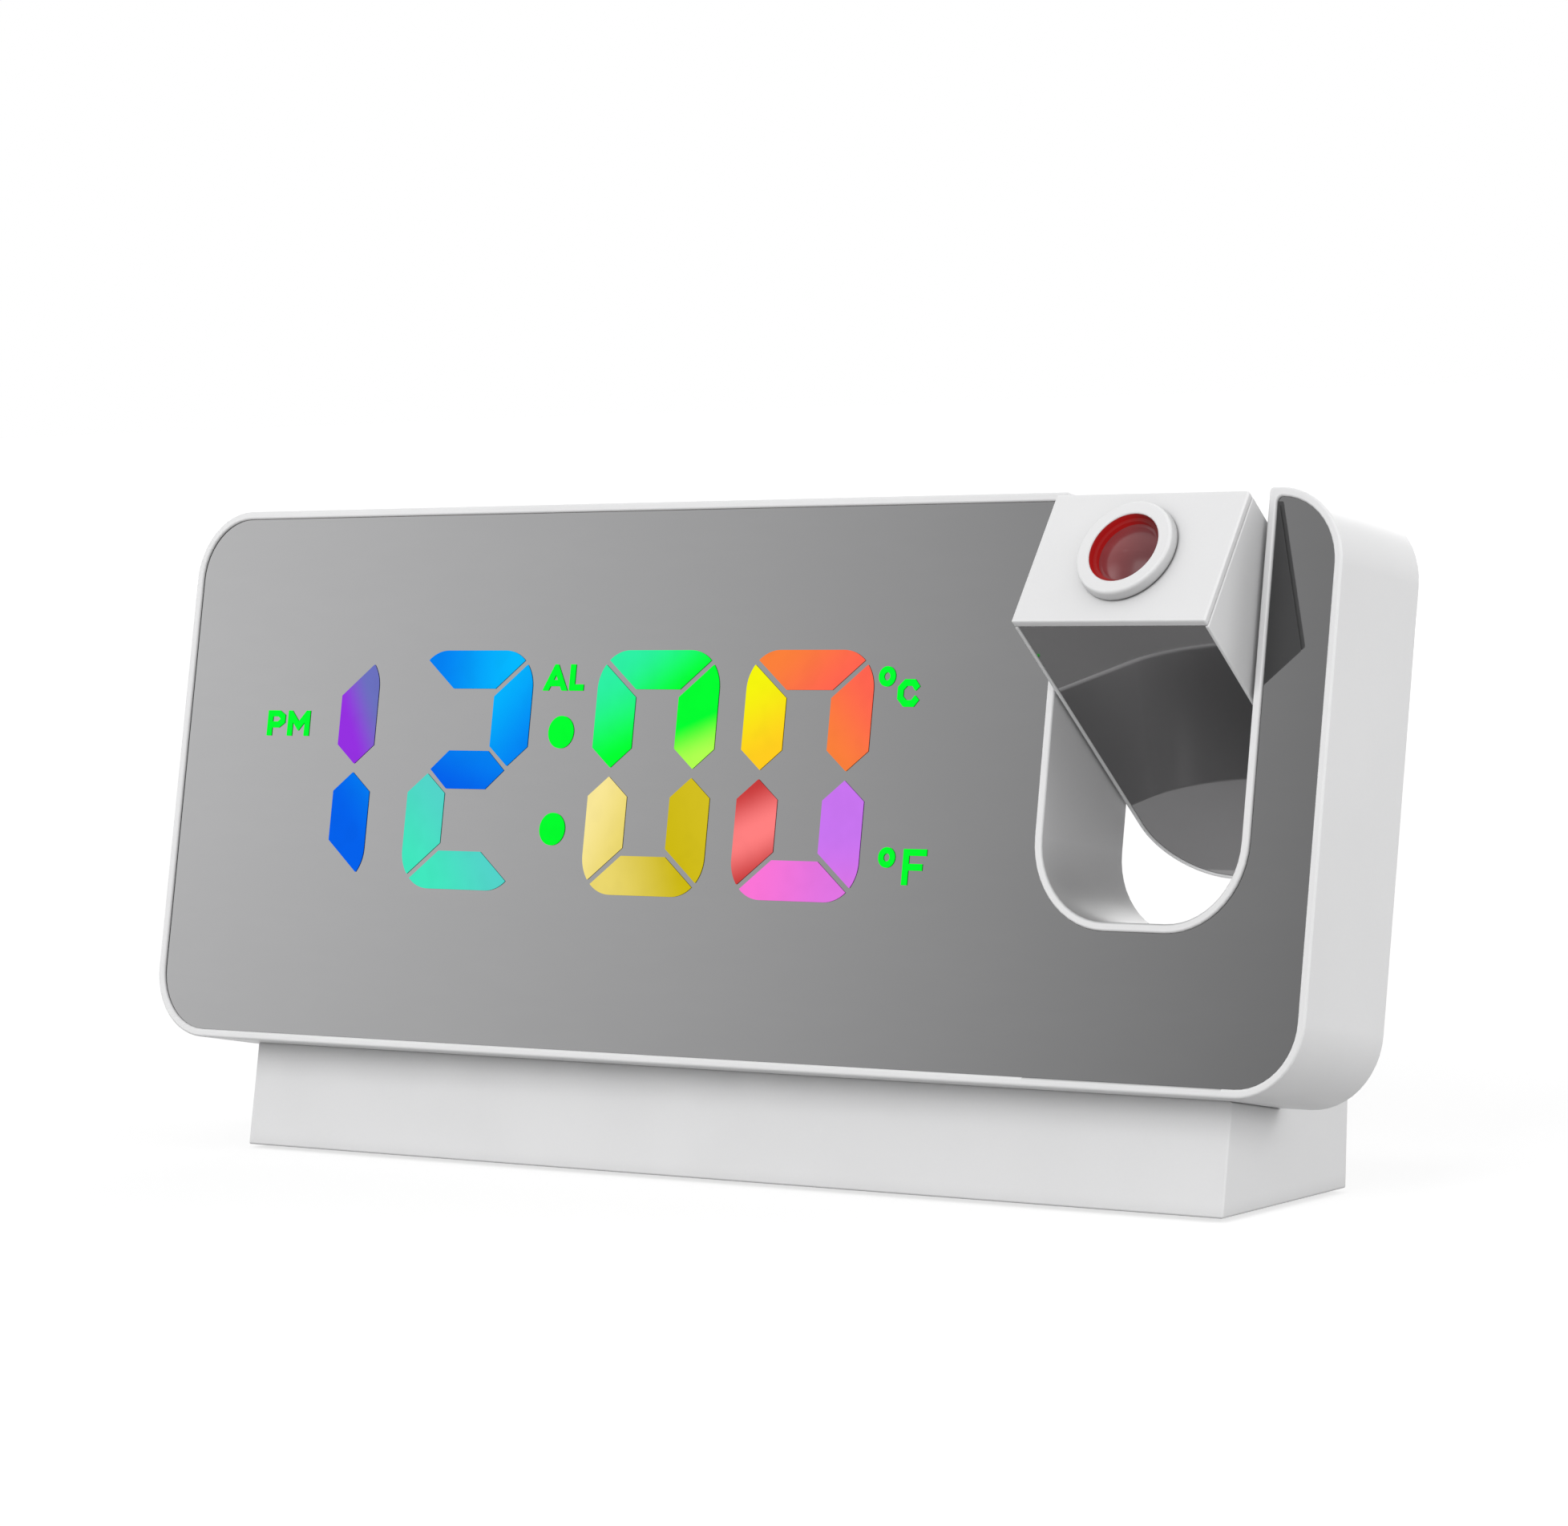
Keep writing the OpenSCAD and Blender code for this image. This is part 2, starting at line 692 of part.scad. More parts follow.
module degree_ring() {
    difference() {
        circle(mark_h * 0.37);
        circle(mark_h * 0.15);
    }
}

// Opal sheet behind the mirror that spreads the light of each well
module light_diffuser() {
    color([0.95, 0.95, 0.92]) on_body() slab(pocket_d, pocket_d + diffuser_t)
        round_rect([display_left, display_low], [display_right, display_high], 1.5);
}

// Block with a light well behind each digit, the colon and the marks
module reflector_block() {
    color([0.85, 0.85, 0.83]) on_body() slab(pocket_d + diffuser_t, display_board_d) difference() {
        round_rect([display_left, display_low], [display_right, display_high], 1.5);
        for (left = digit_lefts()) for (row = [0, 1])
            translate([left + 1, display_v - digit_h / 2 + 1 + row * digit_h / 2])
                square([digit_w - 2, digit_h / 2 - 2]);
        translate([-colon_x - 3, display_v - colon_drop - digit_h / 3]) square([6, digit_h * 0.66]);
    }
}

function digit_lefts() = [
    for (i = [1, 0]) -colon_x - colon_gap - digit_w - i * lead_pitch,
    for (i = [0, 1]) -colon_x + colon_gap + i * digit_pitch];

// Board that carries the display's lamps, screwed to the housing's bosses
module display_board() {
    color(board_green) on_body() slab(display_board_d, display_board_d + board_t) difference() {
        translate([board_left, wall + 0.5]) square([board_right - board_left, body_h - 2 * wall - 1]);
        for (x = display_boss_x, v = display_boss_v) translate([x, v]) circle(screw_r + set_gap);
    }
}

// One lamp behind each stroke, two behind the colon
module segment_leds() {
    side = (digit_w - stroke_w) / 2;
    high = (digit_h - stroke_h) / 2;
    spots = [[0, high], [0, stroke_h / 2], [0, -high], for (x = [-side, side], v = [-high, high] / 2) [x, v]];
    color([0.95, 0.95, 0.8]) on_body() {
        for (left = digit_lefts(), spot = spots)
            led_chip(left + digit_w / 2 + spot[0], display_v + spot[1]);
        for (side = [-1, 1]) led_chip(-colon_x, display_v - colon_drop + side * digit_h / 5);
    }
}

module led_chip(x, v) {
    translate([x - 1.1, display_board_d - led_h, v - 0.7]) cube([2.2, led_h, 1.4]);
}

// ---------------------------------------------------------------- electronics

module main_board() {
    color(board_green) on_body() slab(main_board_d, main_board_d + board_t) difference() {
        translate([main_left, main_low]) square([main_right - main_left, main_high - main_low]);
        for (x = post_x, v = post_v) translate([x, v]) circle(screw_r + set_gap);
    }
}

// Plug-in strip that joins the two boards
module board_header() {
    color([0.12, 0.12, 0.12]) on_body()
        translate([button_x(1) - header_w / 2, display_board_d + board_t, main_low + screw_head_r + 1])
            cube([header_w, header_h, header_d]);
}

// Screws that hold the main board to the rear cover, and the display board's
module board_screws() {
    color(steel) on_body() {
        for (x = post_x, v = post_v)
            translate([x, main_board_d, v]) rotate([-90, 0, 0]) flat_screw(board_screw_len);
        for (x = display_boss_x, v = display_boss_v)
            translate([x, display_board_d + board_t, v]) rotate([90, 0, 0]) flat_screw(board_screw_len);
    }
}

// A small screw with a thin head behind Z = 0 and its shank in front
module flat_screw(length) {
    cylinder(h = length, r = screw_r - 0.1);
    translate([0, 0, -0.6]) cylinder(h = 0.6, r = 1.8);
}

module controller_chip() {
    chip_h = 1.4;
    lead = chip_w / 10;
    pitch = chip_w / 8;
    color([0.13, 0.13, 0.14]) on_body() translate([chip_at[0], main_board_d + board_t, chip_at[1]]) {
        translate([-chip_w / 2, 0.15, -chip_w / 2]) cube([chip_w, chip_h, chip_w]);
        for (turn = [0 : 90 : 270], i = [-3 : 3]) rotate([0, turn, 0])
            translate([chip_w / 2 - lead / 2, 0, i * pitch - 0.2]) cube([lead * 1.5, 0.3, 0.4]);
    }
}

function button_x(i) = button_x0 + i * button_pitch;

// One switch behind each button
module tact_switches() {
    color([0.2, 0.2, 0.2]) on_body() for (i = [0 : button_count - 1])
        translate([button_x(i), main_board_d + board_t, button_v]) {
            translate([-switch_w / 2, 0, -switch_w / 2]) cube([switch_w, switch_h, switch_w]);
            rotate([-90, 0, 0]) cylinder(h = switch_h + plunger_h, r = switch_w / 4);
        }
}

module alarm_buzzer() {
    color([0.1, 0.1, 0.1]) on_body() translate([buzzer_at[0], main_board_d + board_t, buzzer_at[1]])
        rotate([-90, 0, 0]) difference() {
            cylinder(h = buzzer_t, r = buzzer_r);
            translate([0, 0, buzzer_t - 1]) cylinder(h = 1 + over, r = 1.2);
        }
}

// Bead on two short legs, behind the vents
module temperature_sensor() {
    bead_r = 1.3;
    leg_gap = 0.6;
    color([0.15, 0.2, 0.5]) on_body() translate([main_left + 8, main_board_d + board_t, chip_at[1]]) {
        for (side = [-1, 1]) translate([side * leg_gap, 0, 0]) rotate([-90, 0, 0])
            cylinder(h = bead_r + 0.1, r = 0.25);
        translate([0, bead_r + leg_gap, 0]) sphere(bead_r);
    }
}

// Round inlet for the mains adapter's plug, with its centre contact
module dc_jack() {
    bore_len = jack_len + cover_t - 0.8;
    color([0.12, 0.12, 0.12]) on_body() translate([jack_at[0], 0, jack_at[1]]) {
        difference() {
            union() {
                translate([-jack_w / 2, cover_d - jack_len, -jack_w / 2])
                    cube([jack_w, jack_len, jack_w]);
                translate([0, cover_d, 0]) rotate([-90, 0, 0]) cylinder(h = cover_t, r = jack_neck_r);
            }
            translate([0, body_d + over, 0]) rotate([90, 0, 0])
                cylinder(h = bore_len + over, r = jack_bore_r);
        }
        translate([0, body_d - 1, 0]) rotate([90, 0, 0]) cylinder(h = bore_len - 0.5, r = 1);
    }
}

// ---------------------------------------------------------------- buttons

// A button's outline on the rear cover, grown by a gap
module button_outline(i, grow = 0) {
    round_rect([button_x(i) - button_w / 2 - grow, button_v - button_h / 2 - grow],
               [button_x(i) + button_w / 2 + grow, button_v + button_h / 2 + grow], 1.5 + grow);
}

// Cap, the flange that keeps it in the cover, and the stem over the switch
module push_button(i) {
    flange_t = 0.7;
    stem_end = main_board_d + board_t + switch_h + plunger_h + button_travel + set_gap;
    color([0.86, 0.86, 0.87]) on_body() {
        slab(cover_d - flange_t / 2, body_d + button_proud) button_outline(i);
        slab(cover_d - flange_t, cover_d) button_outline(i, 1);
        translate([button_x(i), stem_end, button_v]) rotate([-90, 0, 0])
            cylinder(h = cover_d - stem_end, r = 1.5);
    }
}

module mode_button() { push_button(0); }
module alarm_button() { push_button(1); }
module down_button() { push_button(2); }
module up_button() { push_button(3); }
module projector_button() { push_button(4); }

// ---------------------------------------------------------------- stand

// A corner of an outline, moved in from both of the sides that meet there
function moved_in(before, corner, after, by) =
    let (side_a = (corner - before) / norm(corner - before),
         side_b = (after - corner) / norm(after - corner),
         in_a = [-side_a[1], side_a[0]],
         in_b = [-side_b[1], side_b[0]])
    corner + by * (in_a + in_b) / (1 + in_a * in_b);

// An outline moved in by the same distance on every side
function inset_outline(outline, by) =
    let (n = len(outline))
    [for (i = [0 : n - 1]) moved_in(outline[(i + n - 1) % n], outline[i], outline[(i + 1) % n], by)];

// Hollow block under and behind the body, open below for its base plate
module stand_shell() {
    plate_low = stand_front + stand_wall;
    plate_high = stand_front + stand_d - stand_wall;
    color(white) on_stand() difference() {
        union() {
            difference() {
                across(stand_w) polygon(stand_outline);
                across(stand_w - 2 * stand_wall) polygon(inset_outline(stand_outline, stand_wall));
                translate([-stand_w / 2 + stand_wall, plate_low, -over])
                    cube([stand_w - 2 * stand_wall, plate_high - plate_low, base_t + over]);
            }
            bay_ribs();
            intersection() {
                across(stand_w - stand_wall) polygon(inset_outline(stand_outline, stand_wall / 2));
                for (x = base_screw_x()) translate([x, base_screw_y(), base_t])
                    cylinder(h = stand_top_h, r = boss_r);
            }
        }
        for (x = base_screw_x()) translate([x, base_screw_y(), 0])
            cylinder(h = base_screw_len + 2 * over, r = screw_r);
        for (x = stand_screw_x()) body_in_stand() stand_screw_axis(x)
            translate([0, 0, -stand_wall - over]) cylinder(h = stand_wall + 2 * over, r = screw_r + set_gap);
        door_cut();
    }
}

// The body's frame, seen from the stand's
module body_in_stand() {
    translate([0, 0, stand_h]) rotate([-lean, 0, 0]) children();
}

function base_screw_x() = [for (place = [-0.46, -0.15, 0.15, 0.46]) place * stand_w];
function base_screw_y() = stand_front + stand_wall + boss_r + 1;

// Cross ribs that cradle the cells, and an end wall on each side of the bay
module bay_ribs() {
    cradle_x = [for (i = [0 : battery_count - 1], place = [0.25, 0.75])
                -bay_len / 2 + spring_len + (i + place) * battery_pitch];
    intersection() {
        across(stand_w - stand_wall) polygon(inset_outline(stand_outline, stand_wall / 2));
        union() {
            for (side = [-1, 1]) rib(side * (bay_len + rib_t) / 2);
            for (x = cradle_x) difference() {
                rib(x);
                on_cells() translate([x - rib_t, 0, 0]) {
                    rotate([0, 90, 0]) cylinder(h = 2 * rib_t, r = cell_r + set_gap);
                    translate([0, 0, -cell_r - set_gap]) cube([2 * rib_t, stand_d, 2 * (cell_r + set_gap)]);
                }
            }
        }
    }
}

// A plain cross rib, before it is trimmed to the stand's inside
module rib(x) {
    translate([x - rib_t / 2, bay_front, base_t]) cube([rib_t, stand_d, stand_top_h]);
}

// From the stand's frame to the cells' common axis
module on_cells() {
    on_back_wall() translate([0, -cell_depth, cell_high]) children();
}

// The battery door's place in the back wall: a step for the door to lie on,
// the opening inside it, and the holes for its two hinge pins
module door_cut() {
    half = bay_len / 2;
    on_back_wall() {
        translate([-half - set_gap, -door_t - set_gap, door_low - slide_gap])
            cube([2 * half + 2 * set_gap, door_t + set_gap + over, door_h + 2 * slide_gap]);
        translate([-half + door_ledge, -stand_wall * 2, door_low + 2 * hinge_r])
            cube([2 * (half - door_ledge), stand_wall * 2 + over, door_h - 2 * hinge_r - door_ledge]);
        translate([-half - hinge_pin_len - 2 * set_gap, -hinge_r, door_low + hinge_r]) rotate([0, 90, 0])
            cylinder(h = 2 * (half + hinge_pin_len + 2 * set_gap), r = hinge_pin_r + run_gap);
    }
}

// Door over the cells, hinged on two pins along its lower edge
module battery_door() {
    half = bay_len / 2 - slide_gap;
    notch = 9;
    color(white) on_stand() on_back_wall() difference() {
        union() {
            translate([-half, -door_t, door_low + hinge_r]) cube([2 * half, door_t, door_h - hinge_r]);
            translate([-half, -hinge_r, door_low + hinge_r]) rotate([0, 90, 0])
                cylinder(h = 2 * half, r = hinge_r);
            translate([-half - hinge_pin_len, -hinge_r, door_low + hinge_r]) rotate([0, 90, 0])
                cylinder(h = 2 * (half + hinge_pin_len), r = hinge_pin_r);
        }
        translate([-notch / 2, -door_t / 2, door_low + door_h - 2]) cube([notch, door_t, 2 + over]);
    }
}

// Cells end to end, each with the raised tip of its plus pole
module battery_cells() {
    color([0.25, 0.25, 0.28]) on_stand() on_cells() for (i = [0 : battery_count - 1])
        translate([-bay_len / 2 + spring_len + i * battery_pitch, 0, 0]) rotate([0, 90, 0]) {
            cylinder(h = battery_len, r = cell_r);
            translate([0, 0, battery_len]) cylinder(h = tip_len, r = 2.6);
        }
}

// Coiled spring at one end of the bay, drawn as a ribbed cone, and a plate at
// each end
module battery_contacts() {
    plate = 8;
    turns = 4;
    step = (spring_len - contact_t) / turns;
    color(steel) on_stand() on_cells() {
        translate([-bay_len / 2, -plate / 2, -plate / 2]) cube([contact_t, plate, plate]);
        translate([bay_len / 2 - contact_t, -plate / 2, -plate / 2]) cube([contact_t, plate, plate]);
        translate([-bay_len / 2 + contact_t, 0, 0]) rotate([0, 90, 0]) for (i = [0 : turns - 1])
            translate([0, 0, i * step]) difference() {
                cylinder(h = step, r1 = 3.4 - i * 0.35, r2 = 2.9 - i * 0.35);
                translate([0, 0, -over]) cylinder(h = step + 2 * over, r = 1.2);
            }
    }
}

// Plate that closes the stand from below and holds the feet
module stand_base() {
    gap = set_gap;
    color([0.85, 0.85, 0.86]) on_stand() difference() {
        translate([-stand_w / 2 + stand_wall + gap, stand_front + stand_wall + gap, 0])
            cube([stand_w - 2 * (stand_wall + gap), stand_d - 2 * (stand_wall + gap), base_t]);
        for (x = base_screw_x()) translate([x, base_screw_y(), -over]) {
            cylinder(h = base_t + 2 * over, r = screw_r + set_gap);
            cylinder(h = over + countersink, r = screw_head_r + set_gap);
        }
        for (at = foot_places()) translate([at[0], at[1], -over])
            cylinder(h = over + foot_seat, r = foot_r);
    }
}

function foot_places() = [
    for (side = [-1, 1], back = [0, 1])
        [side * (stand_w / 2 - foot_in), stand_front + foot_edge + back * (stand_d - 2 * foot_edge)]];

module rubber_feet() {
    color([0.2, 0.2, 0.2]) on_stand() for (at = foot_places())
        translate([at[0], at[1], -foot_h]) cylinder(h = foot_h + foot_seat, r = foot_r);
}

module base_screws() {
    color(steel) on_stand() for (x = base_screw_x())
        translate([x, base_screw_y(), countersink]) screw(base_screw_len);
}

function stand_screw_x() = [for (place = [-0.38, -0.08, 0.08, 0.38]) place * stand_w];

// The axis of a screw from the stand up into the body's floor, in the body's
// frame: Z = 0 lies on the body's underside
module stand_screw_axis(x) {
    translate([x, body_d - 5, 0]) children();
}

module stand_screws() {
    color(steel) on_body() for (x = stand_screw_x()) stand_screw_axis(x)
        translate([0, 0, -stand_wall]) flat_screw(stand_wall + wall);
}

// ---------------------------------------------------------------- head

// Bushes in the slot's two walls
module pivot_bushes() {
    bush_len = slot_wall + bush_proud;
    color([0.3, 0.3, 0.3]) on_body() both_sides() translate([slot_w / 2, pivot_depth, pivot_v])
        rotate([0, 90, 0]) difference() {
            cylinder(h = bush_len, r = bush_r);
            translate([0, 0, -over]) cylinder(h = bush_len + 2 * over, r = pin_r + run_gap);
        }
}

// Copies a piece onto both sides of the head
module both_ears() {
    for (side = [0, 1]) mirror([side, 0, 0]) children();
}

// Hollow pins, fixed in the head's walls, that turn in the bushes
module pivot_pins() {
    inner = head_half - head_wall;
    groove_at = slot_w / 2 + slot_wall + bush_proud + 0.2;
    color(steel) on_head() both_ears() difference() {
        translate([inner - pin_flange, 0, 0]) rotate([0, 90, 0]) {
            cylinder(h = pin_flange, r = pin_r + 1.5);
            cylinder(h = pin_end - inner + pin_flange, r = pin_r);
        }
        translate([inner - pin_flange - over, 0, 0]) rotate([0, 90, 0])
            cylinder(h = slot_w, r = pin_bore_r);
        translate([groove_at, 0, 0]) rotate([0, 90, 0]) difference() {
            cylinder(h = clip_t + 0.2, r = pin_r + over);
            translate([0, 0, -over]) cylinder(h = clip_t + 2 * over, r = pin_r - 0.5);
        }
    }
}

// Spring clips in the pins' grooves, inside the body
module pivot_clips() {
    color(steel) on_head() both_ears() translate([slot_w / 2 + slot_wall + bush_proud + 0.3, 0, 0])
        rotate([0, 90, 0]) difference() {
            cylinder(h = clip_t, r = pin_r + 0.5);
            translate([0, 0, -over]) cylinder(h = clip_t + 2 * over, r = pin_r - 0.5 + set_gap / 4);
            translate([0, -1.2, -over]) cube([pin_r + 2, 2.4, clip_t + 2 * over]);
        }
}

// Thin washers between the head and the slot that hold it where it is put
module friction_washers() {
    color([0.15, 0.15, 0.15]) on_head() both_ears() translate([head_half, 0, 0]) rotate([0, 90, 0])
        difference() {
            cylinder(h = washer_t, r = pin_r + 2);
            translate([0, 0, -over]) cylinder(h = washer_t + 2 * over, r = pin_r + set_gap / 2);
        }
}

// The head's side outline about its pivot, moved in by an inset, under a top
// plane that has been lowered
module head_side(inset, lower) {
    front = -pivot_depth + inset;
    back = head_back - inset;
    drop = lower / cos(lean);
    polygon([[front, -head_low + inset], [head_back - heel_r, -head_low + inset],
             [back, -head_low + heel_r], [back, head_up + (back + pivot_depth) * tan(lean) - drop],
             [front, head_up + (front + pivot_depth) * tan(lean) - drop]]);
    translate([head_back - heel_r, -head_low + heel_r]) circle(heel_r - inset);
}

// The head's block, moved in by an inset on its sides, bottom, front and back
module head_block(inset, lower) {
    intersection() {
        across(2 * head_half) head_side(inset, lower);
        slab(-head_d, head_d)
            u_outline(head_half - inset, -head_low + inset, head_r - inset, head_up + head_d);
    }
}

// U-bottomed white shell, open at the front for the mirror and on top
module head_shell() {
    pocket = head_mirror_y + head_mirror_t;
    ledge_in = head_rim + 1.2;
    shelf_x = 4;
    shelf_t = 1.5;
    color(white) on_head() difference() {
        union() {
            difference() {
                head_block(0, cap_t);
                intersection() {
                    head_block(head_wall, -over);
                    translate([-head_half, pocket + 1, -head_h])
                        cube([2 * head_half, head_d, 2 * head_h]);
                }
                slab(-pivot_depth - over, pocket)
                    u_outline(head_half - head_rim, -head_low + head_rim, head_r - head_rim, head_h);
                slab(-pivot_depth, pocket + 1 + over)
                    u_outline(head_half - ledge_in, -head_low + ledge_in, head_r - ledge_in, head_h);
            }
            intersection() {
                head_block(head_wall / 2, cap_t);
                on_cap() for (side = [-1, 1])
                    translate([side * shelf_x, head_d / 2 - shelf_x, -tube_end - projector_board_t - shelf_t / 2])
                        cube([shelf_t, head_d, shelf_t], center = true);
            }
        }
        both_ears() translate([head_half - head_wall - over, 0, 0]) rotate([0, 90, 0])
            cylinder(h = head_wall + 2 * over, r = pin_r + set_gap / 4);
        for (side = [-1, 1]) head_screw_axis(side) translate([0, 0, -over]) {
            cylinder(h = head_wall + 2 * over, r = screw_r + set_gap);
            cylinder(h = over + countersink, r = screw_head_r + set_gap);
        }
    }
}

// The axis of a screw through the head's back wall: Z = 0 is the outer face
module head_screw_axis(side) {
    translate([side * (head_half - head_screw_in), head_back, head_up - head_screw_drop])
        rotate([90, 0, 0]) children();
}

// Flat white cap with the hole for the focus ring, two screw blocks and two ribs
module head_cap() {
    block = 4;
    rib = 1.2;
    color(white) on_head() difference() {
        union() {
            difference() {
                head_block(0, 0);
                head_under_cap(cap_t);
            }
            intersection() {
                head_block(head_wall + set_gap, cap_t / 2);
                for (side = [-1, 1]) {
                    head_screw_axis(side) translate([-block / 2, -head_h, head_wall])
                        cube([block, head_h + head_screw_drop, block]);
                    translate([side * (head_half - head_wall - rib) - rib / 2, -block, head_up - 2])
                        cube([rib, 2 * block, head_h]);
                }
            }
        }
        on_cap() translate([0, 0, -cap_t - over]) cylinder(h = cap_t + 2 * over, r = neck_r + run_gap);
        for (side = [-1, 1]) head_screw_axis(side)
            cylinder(h = head_screw_len + countersink + 0.3, r = screw_r);
    }
}

// Everything below a plane that lies under the cap's top
module head_under_cap(lower) {
    translate([0, -pivot_depth, head_up]) rotate([lean, 0, 0])
        translate([-head_d, -head_d, -2 * head_h - lower]) cube([2 * head_d, 3 * head_d, 2 * head_h]);
}

// Mirror on the head's face, flush with the clock's own when the head is upright
module head_mirror() {
    inset = head_rim + mirror_gap;
    color(mirror_grey) on_head() intersection() {
        slab(head_mirror_y, head_mirror_y + head_mirror_t)
            u_outline(head_half - inset, -head_low + inset, head_r - inset, head_h);
        head_under_cap(cap_t);
    }
}

module head_screws() {
    color(steel) on_head() for (side = [-1, 1]) head_screw_axis(side)
        translate([0, 0, countersink]) screw(head_screw_len);
}

// ---------------------------------------------------------------- optics

// Short tube between the lens and the lamp
module optics_tube() {
    color([0.1, 0.1, 0.1]) on_head() on_cap() translate([0, 0, -tube_end]) difference() {
        cylinder(h = tube_end - tube_top, r = tube_r);
        translate([0, 0, -over]) cylinder(h = tube_end, r = tube_r - tube_wall);
    }
}

// Glass slide with the display that is projected
module projector_lcd() {
    color([0.3, 0.35, 0.35]) on_head() on_cap() translate([0, 0, -tube_top - 1.4])
        cylinder(h = 0.9, r = tube_r - tube_wall - set_gap / 2);
}

// Flat-backed lens that gathers the lamp's light
module condenser_lens() {
    r = tube_r - tube_wall - set_gap / 2;
    bulge = 5;
    color([0.8, 0.85, 0.9]) on_head() on_cap() translate([0, 0, -tube_end + 2.2]) {
        cylinder(h = 0.8, r = r);
        intersection() {
            translate([0, 0, 0.8]) cylinder(h = bulge, r = r);
            translate([0, 0, 0.8 - sqrt(bulge * bulge - r * r)]) sphere(bulge);
        }
    }
}

module projector_board() {
    color(board_green) on_head() on_cap()
        translate([-6, -3.4, -tube_end - projector_board_t]) cube([12, 6.8, projector_board_t]);
}

module projector_led() {
    color([0.9, 0.2, 0.15]) on_head() on_cap() translate([0, 0, -tube_end]) {
        translate([-1.5, -1.5, 0]) cube([3, 3, 0.7]);
        translate([0, 0, 0.7]) cylinder(h = 0.5, r = 1);
    }
}

// Lead that enters the head along its pivot, with a grommet in the pin's bore
module projector_lead() {
    lead_in = 6;
    grommet = 4;
    color([0.15, 0.15, 0.15]) on_head() rotate([0, -90, 0]) {
        translate([0, 0, lead_in + 1]) cylinder(h = pin_end + 3 - lead_in, r = 0.9);
        translate([0, 0, pin_end - grommet]) cylinder(h = grommet, r = pin_bore_r);
    }
}

// Turned to focus: a collar over the cap with a neck through it
module focus_ring() {
    color(white) on_head() on_cap() difference() {
        union() {
            translate([0, 0, set_gap]) cylinder(h = ring_h - set_gap, r1 = ring_r, r2 = ring_r - 0.25);
            translate([0, 0, -neck_len]) cylinder(h = neck_len + set_gap, r = neck_r);
        }
        translate([0, 0, -neck_len - over]) cylinder(h = neck_len + ring_h + 2 * over, r = ring_bore_r);
        translate([0, 0, -clip_z - clip_t - set_gap]) difference() {
            cylinder(h = clip_t + 2 * set_gap, r = neck_r + over);
            translate([0, 0, -over]) cylinder(h = clip_t + 2 * over, r = neck_r - 0.4);
        }
    }
}

// Clip that keeps the ring's neck in the cap
module focus_clip() {
    color(steel) on_head() on_cap() translate([0, 0, -clip_z - clip_t]) difference() {
        cylinder(h = clip_t, r = neck_r + 0.45);
        translate([0, 0, -over]) cylinder(h = clip_t + 2 * over, r = neck_r - 0.4 + set_gap / 4);
    }
}

// Barrel that carries the front lens and slides inside the ring
module lens_cell() {
    color([0.12, 0.12, 0.12]) on_head() on_cap() translate([0, 0, cell_top - cell_len]) difference() {
        cylinder(h = cell_len, r = cell_outer_r);
        translate([0, 0, cell_floor]) cylinder(h = cell_len, r = glass_r + set_gap / 4);
        translate([0, 0, -over]) cylinder(h = cell_len, r = glass_r - lens_lip);
    }
}

// Lens with two curved faces
module projection_lens() {
    edge = 0.8;
    face_r = glass_r - lens_lip - set_gap / 2;
    sag = lens_curve - sqrt(lens_curve * lens_curve - face_r * face_r);
    middle = cell_top - cell_len + cell_floor + edge / 2;
    color([0.6, 0.2, 0.2]) on_head() on_cap() translate([0, 0, middle]) {
        cylinder(h = edge, r = glass_r, center = true);
        intersection() {
            cylinder(h = 4 * sag + edge, r = face_r, center = true);
            translate([0, 0, sag + edge / 2 - lens_curve]) sphere(lens_curve);
            translate([0, 0, lens_curve - sag - edge / 2]) sphere(lens_curve);
        }
    }
}

// ---------------------------------------------------------------- nodes

housing();
mirror_panel();
rear_cover();
cover_screws();
hour_windows();
minute_windows();
colon_windows();
indicator_windows();
light_diffuser();
reflector_block();
display_board();
segment_leds();
main_board();
board_header();
board_screws();
controller_chip();
tact_switches();
alarm_buzzer();
temperature_sensor();
dc_jack();
pivot_bushes();
stand_shell();
stand_base();
stand_screws();
base_screws();
rubber_feet();
battery_cells();
battery_contacts();
battery_door();
mode_button();
alarm_button();
down_button();
up_button();
projector_button();
head_shell();
head_cap();
head_mirror();
head_screws();
pivot_pins();
pivot_clips();
friction_washers();
optics_tube();
projector_lcd();
condenser_lens();
projector_board();
projector_led();
projector_lead();
focus_ring();
focus_clip();
lens_cell();
projection_lens();
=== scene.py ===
"""Projection alarm clock: mirrored face with lit digits, projector head that tilts in a
slot, and a battery stand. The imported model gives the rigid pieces. This script gives
their finishes, the lit strokes, the marks on the buttons, the contact springs and the
small parts on the boards, and then the floor, the lights and the camera."""
import json
from math import cos, pi, radians, sin

import bmesh
import bpy
from mathutils import Matrix, Vector


